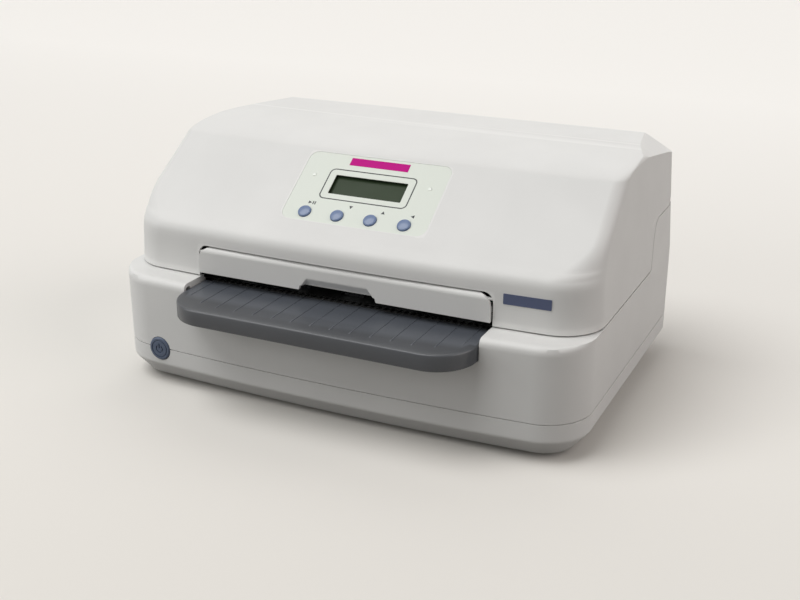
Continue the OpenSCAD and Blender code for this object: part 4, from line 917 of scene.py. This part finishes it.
def case_lip_mesh():
    """Inner lip behind the groove of the parting line: a strip round the case that stops at the button."""
    parts = []
    for span in (np.linspace(BUTTON_X + 13, REAR_MIDDLE, 200), np.linspace(-REAR_MIDDLE, BUTTON_X - 13, 100)):
        uv, quads = grid_with_openings(span, np.array([PAN_TOP - 1, PAN_TOP + GROOVE + 1]), [])
        x, y = case_ring(uv[:, 0], 1.3)
        parts.append(shell(np.stack([x, y, uv[:, 1]], -1), quads, 1.2))
    return joined(parts)


def pan_profile():
    """Section of the pan as (inset, height): straight wall, crease, chamfer, and the turn into the floor."""
    crease = bezier((3.6, 15.0), (1.6, 17.4), (0.0, 18.6), (0.0, 21.0), 10)
    foot = bezier((15.0, FOOT_H), (13.0, FOOT_H), (12.2, FOOT_H + 0.4), (11.2, FOOT_H + 1.8), 6)
    return np.concatenate([foot, crease, [(0.0, PAN_TOP)]])


FLOOR_MARGIN = 8.0
PAN_PROFILE = pan_profile()
PAN_V = np.concatenate([[0], np.cumsum(np.linalg.norm(np.diff(PAN_PROFILE, axis=0), axis=1))])


def pan_surface(u, v):
    """Outer face of the pan: v above zero climbs the section, and below zero runs in over the floor."""
    x, y = case_ring(u, np.interp(v, PAN_V, PAN_PROFILE[:, 0]) - np.minimum(v, 0))
    return np.stack([x, y, np.interp(v, PAN_V, PAN_PROFILE[:, 1])], -1)


def level_rim(points, quads, height):
    """The points of a sheet's open edge at that height as a loop, anticlockwise seen from above."""
    rim = np.unique(open_edges(quads))
    rim = rim[np.abs(points[rim, 2] - height) < 1e-6]
    away = points[rim, :2] - points[rim, :2].mean(axis=0)
    return rim[np.argsort(np.arctan2(away[:, 1], away[:, 0]))]


def bottom_pan_mesh():
    """Bottom pan as one shell over u and v, with the lower half of the power button's hole. One level face
    closes its floor."""
    front = np.concatenate([lines([0, 148], [6.0])[:-1], lines([148, CORNER_START], [1.5])])
    half = np.concatenate([front, side_stops(), lines([REAR_START, REAR_MIDDLE], [6.0])[1:]])
    hole_v = PAN_V[-1] - (PAN_TOP - BUTTON_Z)
    wall_rows = lines([PAN_V[-2], hole_v - BUTTON_HOLE - 2.5, PAN_V[-1]], [1.5, 2.0])
    rows = np.concatenate([PAN_V[:-1], wall_rows[1:]])
    rows = np.concatenate([[-FLOOR_MARGIN], np.unique(np.round(rows, 4))])
    opening = (BUTTON_X, hole_v, BUTTON_HOLE, BUTTON_HOLE, BUTTON_HOLE, 2.5, "high")
    uv, quads = grid_with_openings(mirrored(half), rows, [opening])
    points, quads = weld(pan_surface(uv[:, 0], uv[:, 1]), quads)
    return shell(points, quads, WALL, level_rim(points, quads, FOOT_H)[::-1])


FLAP_HALF = 132.6
FLAP_TOP = 124.8
FLAP_OPEN_R = 8.0
PANEL_LOW, PANEL_HIGH = 23.0, 96.0
PANEL_HALF = 65.3
PANEL_R = 8.0
PANEL_MID = (PANEL_LOW + PANEL_HIGH) / 2
LCD_MID = 63.6
LCD_HALF = (33.0, 10.0)
KEY_XS = (-45.0, -15.0, 15.0, 45.0)
KEY_T = 31.8
KEY_R = 5.6
LIGHT_X, LIGHT_T = 53.0, 71.0
FILM_OUT = -0.2  # height of the film's face over the slope
BADGE_X, BADGE_Z = (140.5, 178.0), (117.3, 125.7)


def top_cover_mesh():
    """Cover: one shell over u and v, closed by one level face, with the flap's opening in the skirt, the
    panel's opening in the slope, and the knuckles and ribs inside."""
    front = lines([0, PANEL_HALF - 10, PANEL_HALF + 3, 118, FLAP_HALF + 3, EXACT_X, CORNER_START],
                  [5.0, 1.3, 5.0, 1.3, 2.2, 4.0])
    us = mirrored(np.concatenate([front, side_stops(), lines([REAR_START, REAR_MIDDLE], [8.0])[1:]]))
    panel_v, panel_half = SLOPE_V + PANEL_MID, (PANEL_HIGH - PANEL_LOW) / 2
    flap_v = FLAP_TOP - COVER_Z
    bends = np.interp([SHOULDER_Z, REAR_TOP_Z - 2, SIDE_TOP_Z, REAR_TOP_Z], ROW_Z, ROW_V)
    marks = [0, 16, flap_v + 3, 33, SLOPE_V + 8, LIFT_V, panel_v - panel_half - 3, panel_v - panel_half + 9,
             *bends[:1], panel_v + panel_half - 9, panel_v + panel_half + 3, *bends[1:], TOP_V]
    vs = lines(marks, [3.2, 1.3, 1.2, 0.9, 3.0, 1.3, 1.3, 4.0, 4.0, 1.3, 1.5, 1.5, 1.5, 2.5])
    openings = [
        (0, flap_v - 40, FLAP_HALF, 40, FLAP_OPEN_R, 3.0, "low"),
        (0, panel_v, PANEL_HALF, panel_half, PANEL_R, 3.0, ""),
    ]
    uv, quads = grid_with_openings(us, vs, openings)
    points, quads = weld(cover_surface(uv[:, 0], uv[:, 1]), quads)
    return joined([shell(points, quads, WALL, level_rim(points, quads, TOP_Z)), *cover_inner_parts()])


def cover_inner_parts():
    """Knuckles beside the hinge arms and stiffening ribs under the crown."""
    back = REAR_Y - WALL + 0.5 - HINGE[0]
    knuckle = [(0, -6), (4, -4.4), (back, -2), (back, 14), (-1, 10), (-5.4, 2.6), (-6, 0), (-4.4, -4.4)]
    rib = [(20, 190), (REAR_Y - 8, 186), (REAR_Y - 8, 198), (84, 200.4), (20, 197)]
    return [*bars(HINGE + knuckle, *KNUCKLE), *bars(rib, 89, 91)]


def panel_sheet(half_w, low, high, r, openings, out, depth):
    """Flat sheet on the slope with a rounded outline and openings, as a closed solid of that depth: the grid
    of x by distance up the slope, pulled to the outline where the corners are rounded."""
    xs = [-half_w, r - half_w, 0.0, half_w - r, half_w]
    ts = [low, low + r, high - r, high]
    for cu, cv, hu, hv, _, margin, _ in openings:
        xs += [cu - hu - margin, cu + hu + margin]
        ts += [cv - hv - margin, cv + hv + margin]
    stops = (sorted({round(v, 4) for v in values}) for values in (xs, ts))
    uv, quads = grid_with_openings(*(lines(marks, [1.4] * (len(marks) - 1)) for marks in stops), openings)
    middle = np.array([0, (low + high) / 2])
    core = np.array([half_w - r, (high - low) / 2 - r])
    away = uv - middle
    held = np.clip(away, -core, core)
    rest = away - held
    corner = (np.abs(rest) > 1e-9).all(axis=1)
    square = np.abs(rest).max(axis=1)
    length = np.linalg.norm(rest, axis=1)
    rest = np.where(corner[:, None], rest * (square / np.maximum(length, 1e-9))[:, None], rest)
    uv = middle + held + rest
    points, quads = weld(slope_points(uv[:, 0], uv[:, 1], out), quads)
    return shell(points, quads, depth)


def key_openings(r):
    return [(x, KEY_T, r, r, r, 1.6, "") for x in KEY_XS]


def light_openings():
    return [(x, LIGHT_T, 1.6, 1.6, 1.6, 1.2, "") for x in (-LIGHT_X, LIGHT_X)]


def slope_print(outline, out, depth):
    """A print or thin plate on the panel: an outline of (x, t) points as a closed prism on the slope."""
    x, t = np.array(outline, float).T
    return prism(slope_points(x, t, out), slope_points(x, t, out - depth))


def divided(path, step):
    """The same outline with every long stretch cut into steps, so that it follows the bow of the slope."""
    whole = path(0)
    counts = np.ceil(np.linalg.norm(np.roll(whole, -1, axis=0) - whole, axis=1) / step).clip(1).astype(int)
    share = np.concatenate([np.arange(count) / count for count in counts])[:, None]

    def finer(inset):
        loop = path(inset)
        start, end = (np.repeat(points, counts, axis=0) for points in (loop, np.roll(loop, -1, axis=0)))
        return start + (end - start) * share

    return finer


def slope_band(path, width, out, depth):
    """A printed line of that width along a closed path on the panel."""
    section = [(0, out - depth), (0, out), (width, out), (width, out - depth)]
    rows, quads = carried(divided(path, 2.5), section)
    return slope_points(*rows.T), quads


def flap_mesh():
    """Flap: a plate over x and height. Its top edge is a half round about the hinge axis, its top corners are
    rounded, and the finger scoop deepens towards a lip that lies higher than the lower edge."""
    half, low, top, corner = 131.4, 101.3, 123.6, 11.0
    axis_y, axis_z, r = COVER_FRONT + 4.5, 119.1, 4.5
    scoop_top, scoop_half, scoop_end, scoop_depth, lip = 111.0, 35.0, 28.0, 4.0, 105.0
    us = mirrored(lines([0, 26, 36, 118, half], [4.0, 0.5, 6.0, 0.9]))
    ts = lines([0, 0.45, 0.8, 1], [0.05, 0.025, 0.02])
    u, t = (a.reshape(-1) for a in np.meshgrid(us, ts, indexing="ij"))
    away = np.clip(np.abs(u) - (half - corner), 0, corner)
    column_top = top - corner + np.sqrt(corner**2 - away**2)
    column_low = low + (lip - low) * smooth((scoop_half - np.abs(u)) / 1.2)
    z = column_low + (column_top - column_low) * t
    side = scoop_half - (scoop_half - scoop_end) * np.clip((z - low) / (scoop_top - low), 0, 1)
    depth = scoop_depth * np.clip((scoop_top + 0.6 - z) / (scoop_top - lip), 0, 1)
    depth = depth * smooth((side - np.abs(u)) / 1.4)
    turn = np.clip(z - axis_z, 0, r)
    y = axis_y - np.sqrt(np.clip(r * r - turn**2, 0, None)) + depth
    front, back = (np.stack([u, y_of, z], -1) for y_of in (y, np.maximum(axis_y - 1.5, y + 0.8)))
    turns = np.linspace(0, 2 * math.pi, 17)[:-1]
    pin = np.column_stack([axis_y + 1.3 * np.cos(turns), axis_z + 1.3 * np.sin(turns)])
    lug = [(axis_y - 1.6, axis_z - 8), (axis_y + 1.4, axis_z - 8), (axis_y + 1.4, axis_z + 1.4),
           (axis_y - 1.6, axis_z + 1.4)]
    plate_solid = closed(front, back, lattice(len(us), len(ts)))
    return joined([plate_solid, *bars(lug, 122.0, 125.0), *bars(pin, 122.0, 133.0)])


def document_table_mesh():
    """Table: a rounded outline that carries a hollow section with a small bevel round the top, and ribs."""
    (x0, y0, z0), (x1, y1, _) = TABLE_LOW, TABLE_HIGH
    path = rounded_outline(x0, x1, y0, y1, 33.5, 1.2, 24)
    top = TABLE_TOP
    section = [
        (6.0, top), (1.3, top), (0.75, top - 0.12), (0.3, top - 0.5), (0.0, top - 1.3), (0.0, z0 + 1.0),
        (0.3, z0 + 0.3), (0.9, z0), (2.2, z0), (2.8, z0 + 0.5), (2.8, top - 1.5), (6.0, top - 1.5),
    ]
    parts = [plate(path, section)]
    for k in range(-7, 8):
        x, start, end = k * RIB_PITCH, y0 + 12 + 4 * max(abs(k) - 5, 0) ** 2, y1 - 0.4
        corners = [(-1, 0), (1, 0), (1, 1), (-1, 1)]
        foot = [(x + 0.6 * side, end if far else start, top - 0.05) for side, far in corners]
        ridge = [(x + 0.3 * side, end if far else start + 2.4, top + RIB_RISE) for side, far in corners]
        parts.append(prism(np.array(ridge), np.array(foot)))
    for x in range(-104, 105, 52):
        parts.append(block((x - 1, y0 + 4, z0 + 1), (x + 1, y1 - 1, top - 1.5)))
    return joined(parts)


def on_slope_frame(points, x, t):
    """Turns points (across, up, out) onto the slope at x and t."""
    axes = np.array([[1.0, 0, 0], [0, *UP_SLOPE], [0, *OUT_OF_SLOPE]])
    return slope_points(x, t, 0.0) + points @ axes


def key_mesh(x):
    """Domed key: a quarter ellipse for the edge and a shallow arc for the crown, turned about its axis."""
    edge = [(KEY_R - 1.1 + 1.1 * math.cos(a), 0.5 + 0.9 * math.sin(a)) for a in np.linspace(0, 1.2, 7)]
    r0, h0 = edge[-1]
    crown = [(r0 * s, h0 + 0.62 * (1 - s * s)) for s in np.linspace(0.92, 0, 9)]
    profile = [(0, -6), (KEY_R + 1.2, -6), (KEY_R + 1.2, -4.6), (KEY_R, -4.6), *edge, *crown]
    points, quads = turned(profile, 72)
    return on_slope_frame(points, x, KEY_T), quads


def button_mesh():
    """Power button: a disc over polar coordinates whose face sinks by a smooth step inside a ring groove and
    inside the strokes of the power symbol, an open ring and an upright bar."""
    flat_r, count = BUTTON_R - 1.4, 240
    radii = np.concatenate([np.linspace(0, flat_r, 84), flat_r + 1.4 * np.sin(np.linspace(0.2, 1.57, 8))])
    angle = np.linspace(0, 2 * math.pi, count, endpoint=False)
    r, a = (g.reshape(-1) for g in np.meshgrid(radii, angle, indexing="ij"))
    x, z = r * np.cos(a), r * np.sin(a)

    def cut(distance, half_width):
        return smooth(0.5 - (distance - half_width) / 0.24)

    groove = cut(np.abs(r - (BUTTON_R - 2.9)), 0.35)
    arc = np.where(np.abs(np.arctan2(x, z)) < 0.55, 0, cut(np.abs(r - 3.1), 0.42))
    stroke = cut(np.hypot(x, np.clip(np.abs(z - 2.6) - 1.7, 0, None)), 0.42)
    sink = 0.7 * groove + 0.8 * np.maximum(arc, stroke)
    rim = np.clip((r - flat_r) / 1.4, 0, 1)
    y = 1.3 * (1 - np.sqrt(1 - rim**2)) + sink + 0.25 * (r / BUTTON_R) ** 2
    face = np.stack([x, y, z], -1)
    back = np.column_stack([BUTTON_R * np.cos(angle), np.full(count, 14.0), BUTTON_R * np.sin(angle)])
    points = np.concatenate([face, back]) + [BUTTON_X, BUTTON_LOW[1], BUTTON_Z]
    points, quads = weld(points, lattice(len(radii) + 1, count, closed_columns=True))
    rear = np.flatnonzero(points[:, 1] > BUTTON_LOW[1] + 13.9)
    turn = np.arctan2(points[rear, 2] - BUTTON_Z, points[rear, 0] - BUTTON_X)
    return points, [*quads.tolist(), rear[np.argsort(-turn)].tolist()]


# ---------- Operators ----------


class PRINTER_OT_case(bpy.types.Operator):
    """Lower case and bottom pan"""

    bl_idname = "printer.case"
    bl_label = "Case"

    def execute(self, context):
        white = finish_of("warm_white_plastic")
        edge = context.scene.printer_edges.shell_edge / MM
        make_piece("lower_case_shell", *lower_case_mesh(), white, "base", ["lower_case"], edge, 42)
        make_piece("parting_lip", *case_lip_mesh(), white, "base")
        make_piece("bottom_pan_shell", *bottom_pan_mesh(), white, "base", ["bottom_pan"], edge, 42)
        return {"FINISHED"}


class PRINTER_OT_table(bpy.types.Operator):
    """Document table"""

    bl_idname = "printer.table"
    bl_label = "Document table"

    def execute(self, context):
        slate = finish_of("slate_plastic")
        make_piece("table_plate", *document_table_mesh(), slate, "base", ["document_table"])
        return {"FINISHED"}


class PRINTER_OT_cover(bpy.types.Operator):
    """Hinged cover and its flap"""

    bl_idname = "printer.cover"
    bl_label = "Cover"

    def execute(self, context):
        white = finish_of("warm_white_plastic")
        edges = context.scene.printer_edges
        make_piece("cover_shell", *top_cover_mesh(), white, "cover", ["top_cover"], edges.shell_edge / MM, 42)
        make_piece("flap_plate", *flap_mesh(), white, "flap", ["front_flap"], edges.flap_edge / MM, 42)
        return {"FINISHED"}


class PRINTER_OT_panel(bpy.types.Operator):
    """Control panel with its film, display, keys and prints"""

    bl_idname = "printer.panel"
    bl_label = "Control panel"

    def execute(self, context):
        trim = context.scene.printer_edges.trim_edge / MM
        for name, gap, holes, out, depth, finish, *rest in (
            ("panel_floor", 0.02, [(0, LCD_MID, 35.0, 12.0, 1.5, 2.0, ""), *key_openings(KEY_R + 0.3)],
             -1.2, 1.6, "warm_white_plastic"),
            ("panel_film", 0.04, [(0, LCD_MID, *LCD_HALF, 0.8, 2.0, ""), *key_openings(KEY_R + 0.2)],
             FILM_OUT, 0.6, "panel_film", ["control_panel"], trim, 42),
        ):
            sheet = panel_sheet(PANEL_HALF - gap, PANEL_LOW + gap, PANEL_HIGH - gap, PANEL_R,
                                holes + light_openings(), out, depth)
            make_piece(name, *sheet, finish_of(finish), "cover", *rest)
        glass = slope_print(rounded_outline(-38, 38, LCD_MID - 15, LCD_MID + 15, 1.5, 1.5)(0), -3.2, 1.0)
        make_piece("display_glass", *glass, finish_of("resting_display"), "cover", ["display_window"])
        for k, x in enumerate(KEY_XS, 1):
            make_piece(f"key_cap_{k}", *key_mesh(x), finish_of("key_plastic"), f"key_{k}", [f"key_{k}"])
        return {"FINISHED"}


class PRINTER_OT_prints(bpy.types.Operator):
    """Generic prints and bare plates"""

    bl_idname = "printer.prints"
    bl_label = "Prints and plates"

    def execute(self, context):
        ink = (FILM_OUT + 0.03, 0.12)
        marks = [slope_band(rounded_outline(-40, 40, 47.5, 80, 5.0, 5.0, 10), 1.05, *ink)]
        for outline in (
            [(-45.6, 40.2), (-42.4, 41.8), (-45.6, 43.4)],
            [(-41.8, 40.2), (-40.8, 40.2), (-40.8, 43.4), (-41.8, 43.4)],
            [(-40.0, 40.2), (-39.0, 40.2), (-39.0, 43.4), (-40.0, 43.4)],
            [(-6.6, 40.6), (-4.9, 43.6), (-8.3, 43.6)],
            [(21.3, 39.9), (24.7, 39.9), (23.0, 42.9)],
            [(47.3, 41.5), (50.3, 39.8), (50.3, 43.2)],
        ):
            marks.append(slope_print(outline, *ink))
        make_piece("panel_prints", *joined(marks), finish_of("printed_ink"), "cover")
        strip = slope_print(rounded_outline(-26, 27.8, 85.2, 93.2, 0.4, 0.4)(0), FILM_OUT + 0.16, 0.2)
        make_piece("label_strip_bare", *strip, finish_of("label_strip"), "cover")
        x, z = rounded_outline(*BADGE_X, *BADGE_Z, 0.6, 0.6)(0).T
        y = COVER_FRONT + 0.5 * (z - COVER_Z) / 30 + x**2 / (2 * COVER_BOW)
        badge = prism(np.column_stack([x, y - 0.35, z]), np.column_stack([x, y + 1.0, z]))
        make_piece("badge_plate_bare", *badge, finish_of("badge_plate"), "cover")
        return {"FINISHED"}


class PRINTER_OT_button(bpy.types.Operator):
    """Power button with its engraved symbol"""

    bl_idname = "printer.button"
    bl_label = "Power button"

    def execute(self, context):
        finish = finish_of("button_plastic")
        make_piece("power_button_cap", *button_mesh(), finish, "power_button", ["power_button"])
        return {"FINISHED"}


class PRINTER_OT_inner(bpy.types.Operator):
    """Finishes of the solids that are shown as they are"""

    bl_idname = "printer.inner"
    bl_label = "Inner parts"

    def execute(self, context):
        for finish, nodes in CAD_FINISHES.items():
            for node in nodes:
                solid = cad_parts[node]
                solid.data.materials.clear()
                solid.data.materials.append(finish_of(finish))
        return {"FINISHED"}


EYE = (0.4268, -0.87305, 0.4431)
AZIMUTH, ELEVATION = 25.47, 21.29
LENS = 53.4


class PRINTER_OT_stage(bpy.types.Operator):
    """Camera, lamps, floor and backdrop"""

    bl_idname = "printer.stage"
    bl_label = "Stage"

    def execute(self, context):
        scene = context.scene
        scene.view_settings.view_transform = "Standard"
        camera = bpy.data.objects.new("camera", bpy.data.cameras.new("camera"))
        scene.collection.objects.link(camera)
        a, e = math.radians(AZIMUTH), math.radians(ELEVATION)
        look = Vector((-math.sin(a) * math.cos(e), math.cos(a) * math.cos(e), -math.sin(e)))
        camera.rotation_mode = "QUATERNION"
        camera.rotation_quaternion = look.to_track_quat("-Z", "Y")
        camera.location = EYE
        camera.data.lens = LENS
        camera.data.sensor_width = 36.0
        scene.camera = camera
        self.lamps(scene)
        self.world(scene)
        self.floor(scene)
        return {"FINISHED"}

    def lamps(self, scene):
        """Wide suns, whose light has no edge on the floor, and one near lamp that fades to the right."""
        for name, kind, place, strength, size, tint in (
            ("overhead", "SUN", (-0.34, -0.26, 0.90), 1.80, 0.75, (1.0, 1.0, 1.0)),
            ("behind", "SUN", (-0.20, 0.70, 0.68), 0.45, 0.85, (1.0, 1.0, 1.0)),
            ("right_side", "SUN", (0.90, 0.12, 0.42), 1.05, 1.0, (1.0, 0.93, 0.91)),
            ("left_side", "AREA", (-1.20, -1.05, 0.60), 6.5, 0.9, (1.0, 1.0, 1.0)),
        ):
            lamp = bpy.data.lights.new(name, kind)
            lamp.energy = strength
            lamp.color = tint
            if kind == "SUN":
                lamp.angle = size
            else:
                lamp.size = size
            holder = bpy.data.objects.new(name, lamp)
            holder.location = place
            holder.rotation_mode = "QUATERNION"
            holder.rotation_quaternion = (-Vector(place)).to_track_quat("-Z", "Y")
            scene.collection.objects.link(holder)

    def world(self, scene):
        """A weak even light all round, and a pale backdrop where it is seen straight."""
        world = bpy.data.worlds.new("studio")
        scene.world = world
        world.use_nodes = True
        tree = world.node_tree
        light = tree.nodes["Background"]
        light.inputs["Color"].default_value = rgb("F4F2EE")
        light.inputs["Strength"].default_value = 0.22
        seen = tree.nodes.new("ShaderNodeBackground")
        seen.inputs["Color"].default_value = rgb("F6F4F0")
        either = tree.nodes.new("ShaderNodeMixShader")
        tree.links.new(straight_rays(tree), either.inputs["Fac"])
        tree.links.new(light.outputs["Background"], either.inputs[1])
        tree.links.new(seen.outputs["Background"], either.inputs[2])
        tree.links.new(either.outputs["Shader"], tree.nodes["World Output"].inputs["Surface"])

    def floor(self, scene):
        """Level floor. What is seen straight is pale, with painted light that brightens it with distance; the
        light it throws back is that of a grey sweep."""
        reach = 9.0
        corners = [(reach * x, reach * y, 0) for x, y in ((-1, -1), (1, -1), (1, 1), (-1, 1))]
        mesh = bpy.data.meshes.new("floor")
        mesh.from_pydata(corners, [], [(0, 1, 2, 3)])
        floor = bpy.data.objects.new("floor", mesh)
        scene.collection.objects.link(floor)
        finish = Finish("pale_floor")
        axes = finish.node("ShaderNodeSeparateXYZ")
        finish.link(finish.place, axes.inputs["Vector"])
        # painted light: the floor seen straight is lighter far away than near, the gradient of a lit backdrop
        far = finish.spread(axes.outputs["Y"], -0.5, 1.3)
        pale = finish.mixed(far, rgb("DDDAD4"), rgb("F8F6F2"))
        finish.link(finish.mixed(straight_rays(finish.tree), rgb("7E7C79"), pale),
                    finish.shader.inputs["Base Color"])
        finish.roughness(0.85, 0.95)
        finish.set(Specular_IOR_Level=0.0)
        mesh.materials.append(finish.material)


def straight_rays(tree):
    """1 for what the camera sees, straight, in a mirror or through glass, and 0 for light thrown back."""
    path = tree.nodes.new("ShaderNodeLightPath")
    total = path.outputs["Is Camera Ray"]
    for name in ("Is Glossy Ray", "Is Transmission Ray"):
        add = tree.nodes.new("ShaderNodeMath")
        add.operation = "ADD"
        add.use_clamp = True
        tree.links.new(total, add.inputs[0])
        tree.links.new(path.outputs[name], add.inputs[1])
        total = add.outputs["Value"]
    return total


class PRINTER_PT_panel(bpy.types.Panel):
    """Lists the printer's pieces, colours and roundings"""

    bl_label = "Printer"
    bl_idname = "PRINTER_PT_panel"
    bl_space_type = "VIEW_3D"
    bl_region_type = "UI"
    bl_category = "Printer"

    def draw(self, context):
        for group in (context.scene.printer_finishes, context.scene.printer_edges):
            for name in group.__annotations__:
                self.layout.prop(group, name)
        for operator in OPERATORS:
            self.layout.operator(operator.bl_idname)


OPERATORS = (
    PRINTER_OT_case, PRINTER_OT_table, PRINTER_OT_cover, PRINTER_OT_panel, PRINTER_OT_prints,
    PRINTER_OT_button, PRINTER_OT_inner, PRINTER_OT_stage,
)
CLASSES = (PrinterFinishes, PrinterEdges, *OPERATORS, PRINTER_PT_panel)


def register():
    for made in CLASSES:
        bpy.utils.register_class(made)
    bpy.types.Scene.printer_finishes = bpy.props.PointerProperty(type=PrinterFinishes)
    bpy.types.Scene.printer_edges = bpy.props.PointerProperty(type=PrinterEdges)


def unregister():
    del bpy.types.Scene.printer_finishes
    del bpy.types.Scene.printer_edges
    for made in reversed(CLASSES):
        bpy.utils.unregister_class(made)


def main():
    register()
    for operator in OPERATORS:
        group, name = operator.bl_idname.split(".")
        getattr(getattr(bpy.ops, group), name)()
    bpy.context.view_layer.update()


if __name__ == "__main__":
    main()
